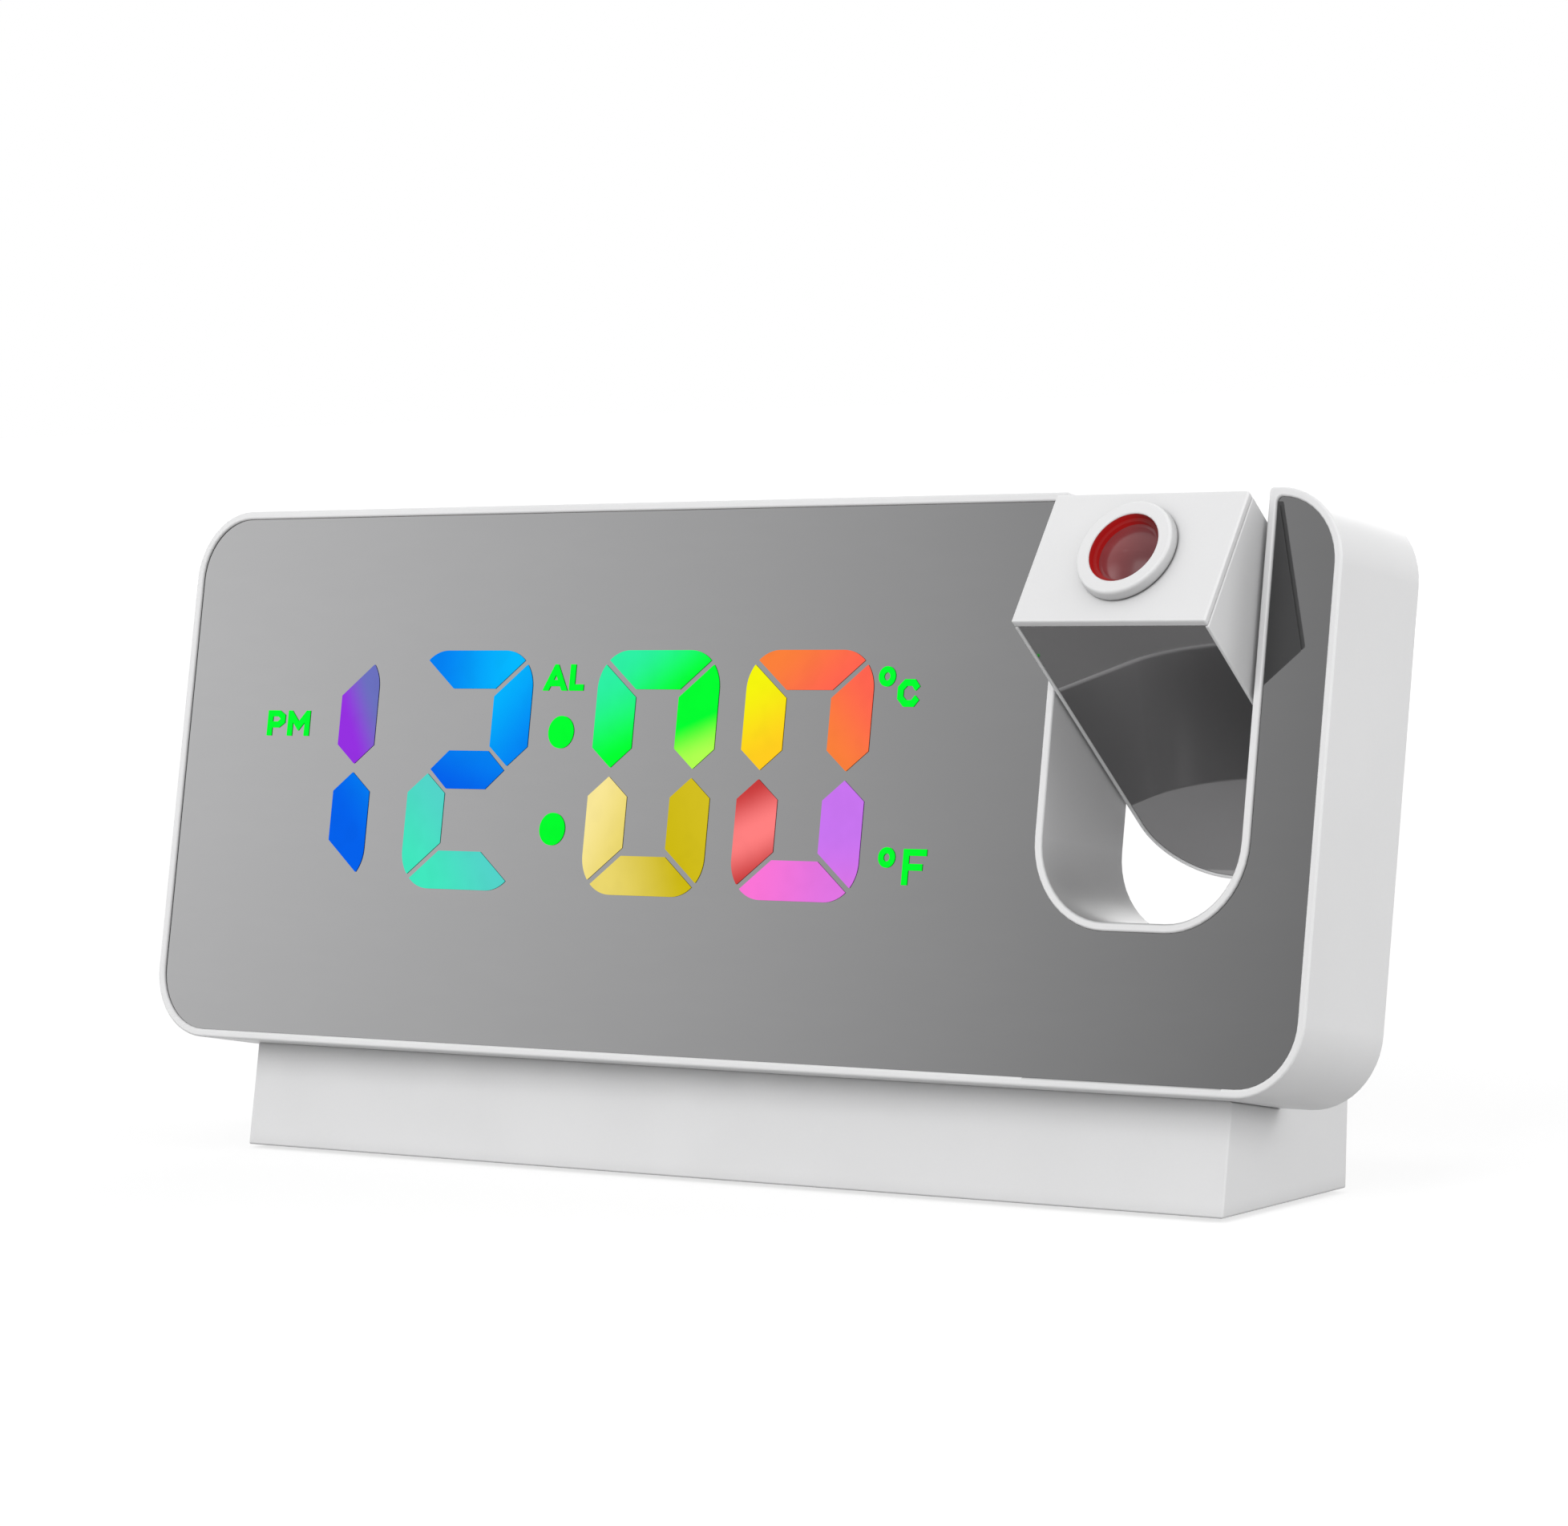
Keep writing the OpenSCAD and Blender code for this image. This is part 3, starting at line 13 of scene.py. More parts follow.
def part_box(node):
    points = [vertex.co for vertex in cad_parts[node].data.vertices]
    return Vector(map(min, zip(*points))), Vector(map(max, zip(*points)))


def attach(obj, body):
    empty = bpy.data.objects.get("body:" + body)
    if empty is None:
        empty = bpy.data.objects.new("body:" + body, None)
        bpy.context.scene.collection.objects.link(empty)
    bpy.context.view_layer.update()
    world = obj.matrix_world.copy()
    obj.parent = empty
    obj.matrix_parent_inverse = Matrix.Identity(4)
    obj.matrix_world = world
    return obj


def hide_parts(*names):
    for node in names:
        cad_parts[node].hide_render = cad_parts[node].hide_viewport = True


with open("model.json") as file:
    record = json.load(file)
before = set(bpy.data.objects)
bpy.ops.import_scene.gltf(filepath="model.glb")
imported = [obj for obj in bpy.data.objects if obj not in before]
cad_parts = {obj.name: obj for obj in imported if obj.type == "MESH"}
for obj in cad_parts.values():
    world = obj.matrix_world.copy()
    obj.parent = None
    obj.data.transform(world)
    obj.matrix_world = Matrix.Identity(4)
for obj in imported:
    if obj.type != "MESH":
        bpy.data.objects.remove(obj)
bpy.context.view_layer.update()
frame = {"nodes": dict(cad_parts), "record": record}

# ------------------------------------------------------------------ sizes and places

MM = 0.001
MERGE_GAP = 0.001 * MM
LEAN = radians(11.7)
BODY_D = 17 * MM
STAND_BACK = 30.2 * MM
STAND_BACK_LEAN = radians(6)
FOOT_H = 0.5 * MM

DIGIT_W = 20 * MM
DIGIT_H = 31.3 * MM
DIGIT_PITCH = 24.5 * MM
LEAD_PITCH = 27 * MM
DISPLAY_V = 36.7 * MM
COLON_X = 24.4 * MM
COLON_GAP = 5.6 * MM
SLOT_W = 28.5 * MM
CELL_COUNT = 3

# From the body's own frame (across, depth, height on the face) to where it leans
body_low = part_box("housing")[0]
BODY = (Matrix.Translation((0, body_low.y, body_low.z + BODY_D * sin(LEAN)))
        @ Matrix.Rotation(-LEAN, 4, "X"))

# From the stand's leaning back wall, where depth 0 is its outer face
BACK_WALL = (Matrix.Translation((0, body_low.y + STAND_BACK, FOOT_H))
             @ Matrix.Rotation(-STAND_BACK_LEAN, 4, "X"))


def box_in(place, node):
    """Lowest and highest corner of a node, measured along the axes of a place."""
    back = place.inverted()
    corners = [back @ v.co for v in frame["nodes"][node].data.vertices]
    low = Vector(min(c[i] for c in corners) for i in range(3))
    high = Vector(max(c[i] for c in corners) for i in range(3))
    return low, high


# ------------------------------------------------------------------ colours


def shade(code):
    """Colour for a shader from a six-figure screen colour."""
    parts = [int(code[i:i + 2], 16) / 255 for i in (0, 2, 4)]
    linear = [p / 12.92 if p <= 0.04045 else ((p + 0.055) / 1.055) ** 2.4 for p in parts]
    return (*linear, 1)


VIOLET = shade("9430E0")
SLATE = shade("6A70BE")
BLUE = shade("0060EB")
AZURE = shade("0080F2")
SKY = shade("00B8FF")
TURQUOISE = shade("40E8BE")
TEAL = shade("52D2C8")
MINT = shade("2CF0A4")
GREEN = shade("00FF30")
LEAF = shade("00FC2C")
LIME = shade("B0FF50")
CREAM = shade("FAE898")
STRAW = shade("EBD76E")
MUSTARD = shade("CCB80F")
OCHRE = shade("D2BE20")
YELLOW = shade("F5F50A")
AMBER = shade("FFCC1E")
ORANGE = shade("FA803A")
CORAL = shade("FF6450")
BRICK = shade("C83C3C")
ROSE = shade("FF8080")
ORCHID = shade("C874F0")
PINK = shade("FA74D6")
MAGENTA = shade("E074E2")
BLACK = (0, 0, 0, 1)
WHITE = (0.86, 0.86, 0.865, 1)
WHITE_DRIFT = (0.84, 0.84, 0.845, 1)
# Paler white of edges polished by use, light enough to be a painted highlight along them
WHITE_WEAR_AND_HIGHLIGHT = (0.98, 0.98, 0.98, 1)

# ------------------------------------------------------------------ shader building


def put(tree, kind, settings=None, **inputs):
    """Adds a shader node. An input is a value to set or an output to link to it."""
    node = tree.nodes.new("ShaderNode" + kind)
    for name, value in (settings or {}).items():
        setattr(node, name, value)
    for name, value in inputs.items():
        feed(tree, node.inputs[name.replace("_", " ")], value)
    return node


def feed(tree, socket, value):
    """Sets a socket's value, or links an output to it."""
    if isinstance(value, bpy.types.NodeSocket):
        tree.links.new(value, socket)
    else:
        socket.default_value = value


def calc(tree, operation, *values, clamp=False):
    """Output of a Math node."""
    node = put(tree, "Math", {"operation": operation, "use_clamp": clamp})
    for socket, value in zip(node.inputs, values):
        feed(tree, socket, value)
    return node.outputs[0]


def vector_calc(tree, operation, first, second, output="Vector"):
    """Output of a Vector Math node."""
    node = put(tree, "VectorMath", {"operation": operation})
    feed(tree, node.inputs[0], first)
    feed(tree, node.inputs[1], second)
    return node.outputs[output]


def mixed(tree, factor, first, second, mode="MIX"):
    """Colour output of a Mix node."""
    node = put(tree, "Mix", {"data_type": "RGBA", "blend_type": mode})
    feed(tree, node.inputs[0], factor)
    feed(tree, node.inputs[6], first)
    feed(tree, node.inputs[7], second)
    return node.outputs[2]


def ranged(tree, value, low, high, to_low=0.0, to_high=1.0, soft=True):
    """A value's place between two limits, carried over to another range."""
    node = put(tree, "MapRange", {"interpolation_type": "SMOOTHSTEP" if soft else "LINEAR"},
               Value=value, From_Min=low, From_Max=high, To_Min=to_low, To_Max=to_high)
    return node.outputs["Result"]


def millimetres(tree):
    """Place on the object in millimetres."""
    place = put(tree, "TexCoord").outputs["Object"]
    return vector_calc(tree, "MULTIPLY", place, (1000, 1000, 1000))


def off_middle(tree):
    """Place across and up a piece's own box, from -0.5 to 0.5."""
    place = put(tree, "SeparateXYZ", Vector=put(tree, "TexCoord").outputs["Generated"]).outputs
    return calc(tree, "SUBTRACT", place["X"], 0.5), calc(tree, "SUBTRACT", place["Z"], 0.5)


def along_slope(tree, across, up, slope):
    """How far a place lies along a slope that has a share across and a share up."""
    sideways = calc(tree, "MULTIPLY", across, slope["Across"])
    return calc(tree, "MULTIPLY_ADD", up, slope["Up"], sideways)


def noise(tree, place, scale, detail=2.0, stretch=None):
    """Value of a noise texture; stretch draws it out along the axes."""
    if stretch is not None:
        place = vector_calc(tree, "MULTIPLY", place, stretch)
    return put(tree, "TexNoise", Vector=place, Scale=scale, Detail=detail).outputs[0]


def effect(name, inputs, outputs):
    """A node group with named inputs and outputs, and the nodes at its two ends."""
    tree = bpy.data.node_groups.new(name, "ShaderNodeTree")
    for label, value in inputs.items():
        kind = {3: "Vector", 4: "Color"}[len(value)] if isinstance(value, tuple) else "Float"
        socket = tree.interface.new_socket(label, in_out="INPUT", socket_type="NodeSocket" + kind)
        socket.default_value = value
    for label, kind in outputs.items():
        tree.interface.new_socket(label, in_out="OUTPUT", socket_type="NodeSocket" + kind)
    return tree, tree.nodes.new("NodeGroupInput").outputs, tree.nodes.new("NodeGroupOutput").inputs


def use(tree, group, **inputs):
    """Places a node group in a material with values of its own."""
    node = put(tree, "Group", {"node_tree": group})
    for name, value in inputs.items():
        feed(tree, node.inputs[name.replace("_", " ")], value)
    return node.outputs


def finish(name, **fixed):
    """A material, its node tree and its shader, with the shader's plain values set."""
    material = bpy.data.materials.new(name)
    material.use_nodes = True
    shader = material.node_tree.nodes["Principled BSDF"]
    for label, value in fixed.items():
        shader.inputs[label.replace("_", " ")].default_value = value
    return material, material.node_tree, shader.inputs


def cover(tree, shader, color, roughness):
    """Links a colour and a roughness that change over the surface."""
    tree.links.new(color, shader["Base Color"])
    tree.links.new(roughness, shader["Roughness"])


def raise_surface(tree, shader, height, depth):
    """Turns a height from 0 to 1 into a bump of that depth in millimetres."""
    bump = put(tree, "Bump", Height=height, Distance=depth * MM)
    tree.links.new(bump.outputs["Normal"], shader["Normal"])


# ------------------------------------------------------------------ effects


def make_moulded_grain():
    """Fine spark-eroded grain with slow drifts of tone, as in moulded plastic."""
    tree, given, result = effect(
        "moulded grain",
        {"Light": (0.8, 0.8, 0.8, 1), "Dark": (0.7, 0.7, 0.7, 1), "Grain Size": 0.3,
         "Low Roughness": 0.3, "High Roughness": 0.5},
        {"Color": "Color", "Roughness": "Float", "Height": "Float"})
    place = millimetres(tree)
    scale = calc(tree, "DIVIDE", 1.0, given["Grain Size"])
    grain = noise(tree, place, scale, detail=3)
    drift = noise(tree, place, scale=0.05, detail=3)
    tone = calc(tree, "MULTIPLY_ADD", drift, 0.75, calc(tree, "MULTIPLY", grain, 0.25))
    spread = ranged(tree, tone, 0.35, 0.65)
    tree.links.new(mixed(tree, spread, given["Light"], given["Dark"]), result["Color"])
    rough = ranged(tree, noise(tree, place, scale=0.12, detail=1), 0.3, 0.7)
    gap = calc(tree, "SUBTRACT", given["High Roughness"], given["Low Roughness"])
    roughness = calc(tree, "MULTIPLY_ADD", rough, gap, given["Low Roughness"])
    tree.links.new(roughness, result["Roughness"])
    tree.links.new(grain, result["Height"])
    return tree


def make_edge_wear_and_highlight():
    """Paler, smoother edges where hands polish them, and on the white shells a painted highlight
    along the edges, broken up so that none is even.
    """
    tree, given, result = effect(
        "edge wear",
        {"Color": (0.8, 0.8, 0.8, 1), "Worn Color": (1, 1, 1, 1), "Width": 0.3, "Amount": 0.5,
         "Roughness": 0.4},
        {"Color": "Color", "Roughness": "Float"})
    radius = calc(tree, "MULTIPLY", given["Width"], MM)
    soft = put(tree, "Bevel", {"samples": 4}, Radius=radius).outputs["Normal"]
    plain = put(tree, "NewGeometry").outputs["Normal"]
    turn = calc(tree, "SUBTRACT", 1.0, vector_calc(tree, "DOT_PRODUCT", soft, plain, "Value"))
    broken = ranged(tree, noise(tree, millimetres(tree), scale=0.35, detail=4), 0.3, 0.6, 0.35, 1.0)
    mask = calc(tree, "MULTIPLY", ranged(tree, turn, 0.01, 0.2), broken)
    mask = calc(tree, "MULTIPLY", mask, given["Amount"], clamp=True)
    tree.links.new(mixed(tree, mask, given["Color"], given["Worn Color"]), result["Color"])
    polish = calc(tree, "MULTIPLY_ADD", mask, -0.4, 1.0)
    tree.links.new(calc(tree, "MULTIPLY", given["Roughness"], polish), result["Roughness"])
    return tree


def make_wiped_gloss():
    """Faint wipe marks and specks on a polished face."""
    tree, given, result = effect(
        "wiped gloss",
        {"Color": (0.2, 0.2, 0.2, 1), "Haze Color": (0.3, 0.3, 0.3, 1), "Haze": 0.1,
         "Low Roughness": 0.02, "High Roughness": 0.08},
        {"Color": "Color", "Roughness": "Float"})
    place = millimetres(tree)
    streaks = noise(tree, place, scale=0.05, detail=4, stretch=(1.0, 1.0, 3.0))
    arcs = noise(tree, place, scale=0.6, detail=5, stretch=(0.25, 1.0, 1.0))
    film = ranged(tree, calc(tree, "MULTIPLY", streaks, arcs), 0.15, 0.4)
    specks = put(tree, "TexVoronoi", Vector=place, Scale=0.45).outputs["Distance"]
    dots = ranged(tree, specks, 0.05, 0.02)
    dirt = calc(tree, "MAXIMUM", film, calc(tree, "MULTIPLY", dots, 0.7))
    haze = calc(tree, "MULTIPLY", dirt, given["Haze"])
    tree.links.new(mixed(tree, haze, given["Color"], given["Haze Color"]), result["Color"])
    gap = calc(tree, "SUBTRACT", given["High Roughness"], given["Low Roughness"])
    roughness = calc(tree, "MULTIPLY_ADD", film, gap, given["Low Roughness"])
    tree.links.new(roughness, result["Roughness"])
    return tree


def make_painted_reflection_drift():
    """A metal film's colour, shaded along one way as a painted reflection, from its darker to its
    lighter end.
    """
    tree, given, result = effect(
        "film and painted reflection",
        {"Thick": (0.16, 0.16, 0.16, 1), "Thin": (0.26, 0.26, 0.26, 1), "Across": -0.8, "Up": -1.0},
        {"Color": "Color", "Height": "Float"})
    across, up = off_middle(tree)
    toward_lightest = ranged(tree, along_slope(tree, across, up, given), -0.5, 0.0)
    tree.links.new(mixed(tree, toward_lightest, given["Thick"], given["Thin"]), result["Color"])
    tree.links.new(up, result["Height"])
    return tree


def make_drawn_metal():
    """Fine drawing lines along one axis, with a slow change of tone."""
    tree, given, result = effect(
        "drawn metal",
        {"Light": (0.7, 0.7, 0.7, 1), "Dark": (0.5, 0.5, 0.5, 1), "Stretch": (0.1, 1.0, 1.0),
         "Roughness": 0.3},
        {"Color": "Color", "Roughness": "Float", "Height": "Float"})
    place = millimetres(tree)
    lines = noise(tree, place, scale=6, detail=4, stretch=given["Stretch"])
    drift = noise(tree, place, scale=0.5, detail=3)
    both = calc(tree, "MULTIPLY_ADD", lines, 0.5, calc(tree, "MULTIPLY", drift, 0.5))
    tone = ranged(tree, both, 0.3, 0.7)
    tree.links.new(mixed(tree, tone, given["Light"], given["Dark"]), result["Color"])
    tree.links.new(calc(tree, "MULTIPLY_ADD", tone, 0.2, given["Roughness"]), result["Roughness"])
    tree.links.new(lines, result["Height"])
    return tree


def make_lit_stroke():
    """Light behind a stroke: it runs from one colour to another, and is a little
    uneven where the lamp's spot fades. Bands sends it there and back again."""
    tree, given, result = effect(
        "lit stroke",
        {"First": (0, 1, 0, 1), "Second": (0, 0.5, 0, 1), "Across": 1.0, "Up": 0.0, "Start": 0.5,
         "Bands": 0.0},
        {"Color": "Color", "Unlit": "Color", "Height": "Float"})
    across, up = off_middle(tree)
    run = calc(tree, "ADD", along_slope(tree, across, up, given), given["Start"], clamp=True)
    there_and_back = calc(tree, "PINGPONG", calc(tree, "MULTIPLY", run, 2.0), 1.0)
    share = mixed(tree, given["Bands"], run, there_and_back)
    light = mixed(tree, ranged(tree, share, 0.05, 0.95), given["First"], given["Second"])
    spots = noise(tree, millimetres(tree), scale=0.35, detail=1)
    dim = ranged(tree, spots, 0.3, 0.6, 0.97, 1.0)
    dimmer = put(tree, "CombineColor", Red=dim, Green=dim, Blue=dim).outputs[0]
    dimmed = mixed(tree, 1.0, light, dimmer, "MULTIPLY")
    tree.links.new(dimmed, result["Color"])
    tree.links.new(mixed(tree, 0.99, dimmed, (0.002, 0.002, 0.002, 1)), result["Unlit"])
    tree.links.new(noise(tree, millimetres(tree), scale=4, detail=2), result["Height"])
    return tree


def make_board_tracks():
    """Circuit board: copper tracks under green lacquer, with tinned pads."""
    tree, given, result = effect(
        "board tracks",
        {"Lacquer": (0.01, 0.1, 0.04, 1), "Track": (0.03, 0.2, 0.08, 1),
         "Tin": (0.6, 0.6, 0.58, 1)},
        {"Color": "Color", "Roughness": "Float", "Height": "Float"})
    place = put(tree, "SeparateXYZ", Vector=millimetres(tree)).outputs
    flat = put(tree, "CombineXYZ", X=place["X"], Y=place["Z"]).outputs[0]
    turned = put(tree, "CombineXYZ", X=place["Z"], Y=place["X"]).outputs[0]
    masks = []
    for plane, scale in ((flat, 0.32), (turned, 0.21)):
        bricks = put(tree, "TexBrick", {"offset": 0.35, "squash": 1.4}, Vector=plane, Scale=scale,
                     Mortar_Size=0.045, Mortar_Smooth=0.05)
        masks.append(bricks.outputs["Fac"])
    tracks = calc(tree, "MAXIMUM", *masks)
    spots = put(tree, "TexVoronoi", {"voronoi_dimensions": "2D"}, Vector=flat, Scale=0.3,
                Randomness=0.6)
    pads = ranged(tree, spots.outputs["Distance"], 0.16, 0.12)
    board = mixed(tree, tracks, given["Lacquer"], given["Track"])
    tree.links.new(mixed(tree, pads, board, given["Tin"]), result["Color"])
    tree.links.new(ranged(tree, pads, 0.0, 1.0, 0.42, 0.28), result["Roughness"])
    tree.links.new(calc(tree, "MAXIMUM", tracks, pads), result["Height"])
    return tree


def make_painted_recess_shade():
    """Painted shade: darkens a colour where neighbouring walls crowd round it, as the shade there
    would.
    """
    tree, given, result = effect(
        "recess shade",
        {"Color": (0.8, 0.8, 0.8, 1), "Reach": 5.0, "Amount": 0.3},
        {"Color": "Color"})
    reach = calc(tree, "MULTIPLY", given["Reach"], MM)
    open_share = put(tree, "AmbientOcclusion", {"samples": 8}, Distance=reach).outputs["AO"]
    closed_share = calc(tree, "SUBTRACT", 1.0, open_share)
    mask = calc(tree, "MULTIPLY", closed_share, given["Amount"], clamp=True)
    tree.links.new(mixed(tree, mask, given["Color"], BLACK), result["Color"])
    return tree


# How far from the lens's middle the lamp's glow shades off to each side, in millimetres
GLOW_HALF = 2.6


def make_lamp_glow():
    """The lamp's red light around the lens: brighter on the side that the beam leans
    to, and only as far out as the bore."""
    tree, given, result = effect(
        "lamp glow",
        {"Bright": (0.3, 0.01, 0.01, 1), "Dim": (0.1, 0.01, 0.01, 1), "Bore": 4.5},
        {"Color": "Color", "Mask": "Float"})
    turning = next(j for j in frame["record"]["behaviour"]["joints"] if j["name"] == "focus_turn")
    centre = tuple(Vector(turning["pos_m"]) / MM)
    offset = vector_calc(tree, "SUBTRACT", millimetres(tree), centre)
    off_axis = vector_calc(tree, "CROSS_PRODUCT", offset, tuple(turning["axis"]))
    radius = vector_calc(tree, "DISTANCE", off_axis, (0, 0, 0), "Value")
    across = put(tree, "SeparateXYZ", Vector=offset).outputs["X"]
    side = ranged(tree, across, GLOW_HALF, -GLOW_HALF)
    tree.links.new(mixed(tree, side, given["Dim"], given["Bright"]), result["Color"])
    inside = calc(tree, "LESS_THAN", radius, given["Bore"])
    tree.links.new(inside, result["Mask"])
    return tree


MOULDED_GRAIN = make_moulded_grain()
EDGE_WEAR_AND_HIGHLIGHT = make_edge_wear_and_highlight()
WIPED_GLOSS = make_wiped_gloss()
PAINTED_REFLECTION_DRIFT = make_painted_reflection_drift()
DRAWN_METAL = make_drawn_metal()
LIT_STROKE = make_lit_stroke()
BOARD_TRACKS = make_board_tracks()
LAMP_GLOW = make_lamp_glow()
# Painted shade in hollows
PAINTED_RECESS_SHADE = make_painted_recess_shade()

# ------------------------------------------------------------------ finishes


def moulded(name, light, dark, worn, grain, roughness, bump, wear=0.5, edge=0.35, shade_reach=5.0,
            recess=0.0, **fixed):
    """Plastic or rubber from a mould: grain, drifts of tone, paler polished edges that on the white
    shells are also a painted highlight, and painted shade in its recesses."""
    material, tree, shader = finish(name, **fixed)
    skin = use(tree, MOULDED_GRAIN, Light=light, Dark=dark, Grain_Size=grain,
               Low_Roughness=roughness[0], High_Roughness=roughness[1])
    # Paler edges: polished by hands, and on the white shells a painted highlight
    edges = use(tree, EDGE_WEAR_AND_HIGHLIGHT, Color=skin["Color"], Worn_Color=worn, Width=edge, Amount=wear,
                Roughness=skin["Roughness"])
    # Painted shade in the recesses
    shaded = use(tree, PAINTED_RECESS_SHADE, Color=edges["Color"], Reach=shade_reach, Amount=recess)
    cover(tree, shader, shaded["Color"], edges["Roughness"])
    raise_surface(tree, shader, skin["Height"], bump)
    return material


def shell_with_painted_slot_shade():
    """The housing's gloss white, with painted shade on the slot's floor, where the head hangs over
    it.
    """
    material = moulded("housing white", **GLOSS_WHITE)
    tree = material.node_tree
    base = tree.nodes["Principled BSDF"].inputs["Base Color"]
    head_low, head_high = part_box("head_shell")
    middle = (head_low.x + head_high.x) / 2
    across = put(tree, "SeparateXYZ", Vector=put(tree, "TexCoord").outputs["Object"]).outputs["X"]
    off_slot = calc(tree, "ABSOLUTE", calc(tree, "SUBTRACT", across, middle))
    in_slot = calc(tree, "LESS_THAN", off_slot, SLOT_W / 2)
    up_the_face = tuple(BODY.to_3x3() @ Vector((0, 0, 1)))
    normal = put(tree, "NewGeometry").outputs["Normal"]
    faces_up = vector_calc(tree, "DOT_PRODUCT", normal, up_the_face, "Value")
    # Painted shade: the more a surface in the slot faces up the face, the darker it is painted
    shade_here = ranged(tree, faces_up, 0.0, 1.0, 0.0, SLOT_FLOOR_PAINTED_SHADE, soft=False)
    painted_floor_shade = calc(tree, "MULTIPLY", shade_here, in_slot)
    shaded = mixed(tree, painted_floor_shade, base.links[0].from_socket, BLACK)
    tree.links.new(shaded, base)
    return material


def half_mirror(name, darkest_film, lightest_film, haze, across, up, bow=0.0):
    """Metallised acrylic: a dark mirror with faint wipe marks, whose colour shades along one way as
    a painted reflection, and whose plate may bow by some millimetres over its height."""
    material, tree, shader = finish(name, Metallic=1.0)
    # Painted reflection: the film's colour shades across the plate
    film = use(tree, PAINTED_REFLECTION_DRIFT, Thick=darkest_film, Thin=lightest_film, Across=across, Up=up)
    gloss = use(tree, WIPED_GLOSS, Color=film["Color"], Haze_Color=haze, Haze=0.03,
                Low_Roughness=0.03, High_Roughness=0.045)
    cover(tree, shader, gloss["Color"], gloss["Roughness"])
    if bow:
        raise_surface(tree, shader, film["Height"], bow)
    return material


def lit(name, first, second, across=0.0, up=-1.0, start=0.5, bands=0.0):
    """Opal window with coloured light behind it."""
    material, tree, shader = finish(name, Emission_Strength=1.0, Roughness=0.35,
                                    Specular_IOR_Level=0.0)
    light = use(tree, LIT_STROKE, First=first, Second=second, Across=across, Up=up, Start=start,
                Bands=bands)
    tree.links.new(light["Color"], shader["Emission Color"])
    tree.links.new(light["Unlit"], shader["Base Color"])
    raise_surface(tree, shader, light["Height"], 0.01)
    return material


def drawn(name, light, dark, stretch, roughness):
    """Drawn or turned metal."""
    material, tree, shader = finish(name, Metallic=1.0)
    metal = use(tree, DRAWN_METAL, Light=light, Dark=dark, Stretch=stretch, Roughness=roughness)
    edges = use(tree, EDGE_WEAR_AND_HIGHLIGHT, Color=metal["Color"], Worn_Color=(0.85, 0.85, 0.86, 1), Width=0.12,
                Amount=0.6, Roughness=metal["Roughness"])
    cover(tree, shader, edges["Color"], edges["Roughness"])
    raise_surface(tree, shader, metal["Height"], 0.01)
    return material


def circuit_board():
    """Green lacquer over copper tracks, with tinned pads."""
    material, tree, shader = finish("board lacquer")
    board = use(tree, BOARD_TRACKS, Lacquer=(0.008, 0.085, 0.03, 1), Track=(0.025, 0.19, 0.07, 1))
    cover(tree, shader, board["Color"], board["Roughness"])
    raise_surface(tree, shader, board["Height"], 0.04)
    return material


def clear_glass():
    """Condenser and display slide: slightly green glass with a wiped face."""
    material, tree, shader = finish("clear glass", Transmission_Weight=1.0, IOR=1.5)
    gloss = use(tree, WIPED_GLOSS, Color=(0.8, 0.9, 0.88, 1), Haze_Color=(0.9, 0.9, 0.9, 1))
    cover(tree, shader, gloss["Color"], gloss["Roughness"])
    return material


def coated_lens():
    """Projection lens with the lamp's red light in it, under a hard coat."""
    material, tree, shader = finish("coated lens", Coat_Weight=0.12, Coat_Roughness=0.15,
                                    Emission_Strength=1.0, Specular_IOR_Level=0.15)
    gloss = use(tree, WIPED_GLOSS, Color=(0.04, 0.012, 0.014, 1), Haze_Color=(0.2, 0.08, 0.08, 1),
                Haze=0.2, Low_Roughness=0.2, High_Roughness=0.26)
    glow = use(tree, LAMP_GLOW, Bright=(0.17, 0.026, 0.028, 1), Dim=(0.1, 0.024, 0.026, 1))
    cover(tree, shader, gloss["Color"], gloss["Roughness"])
    tree.links.new(glow["Color"], shader["Emission Color"])
    return material


def lens_barrel():
    """Black cell whose inner wall catches the lamp's red light."""
    material, tree, shader = finish("lens barrel", Emission_Strength=1.0, Specular_IOR_Level=0.15)
    skin = use(tree, MOULDED_GRAIN, Light=(0.02, 0.008, 0.008, 1), Dark=(0.015, 0.006, 0.006, 1),
               Grain_Size=0.2, Low_Roughness=0.45, High_Roughness=0.6)
    glow = use(tree, LAMP_GLOW, Bright=(0.3, 0.004, 0.004, 1), Dim=(0.1, 0.004, 0.004, 1))
    cover(tree, shader, skin["Color"], skin["Roughness"])
    tree.links.new(glow["Color"], shader["Emission Color"])
    raise_surface(tree, shader, skin["Height"], 0.01)
    return material


def focus_collar():
    """White collar whose bore is red from the lamp."""
    material, tree, shader = finish("focus collar", Emission_Strength=1.0, Roughness=0.36)
    skin = use(tree, MOULDED_GRAIN, Light=WHITE, Dark=WHITE_DRIFT, Grain_Size=0.3,
               Low_Roughness=0.34, High_Roughness=0.38)
    # Painted shade where the collar's walls crowd round it, as at its foot on the cap
    shaded = use(tree, PAINTED_RECESS_SHADE, Color=skin["Color"], Reach=4.0, Amount=1.0)
    glow = use(tree, LAMP_GLOW, Bright=(0.3, 0.004, 0.004, 1), Dim=(0.08, 0.004, 0.004, 1),
               Bore=4.65)
    color = mixed(tree, glow["Mask"], shaded["Color"], (0.01, 0.004, 0.004, 1))
    cover(tree, shader, color, skin["Roughness"])
    tree.links.new(mixed(tree, glow["Mask"], BLACK, glow["Color"]), shader["Emission Color"])
    raise_surface(tree, shader, skin["Height"], 0.001)
    return material


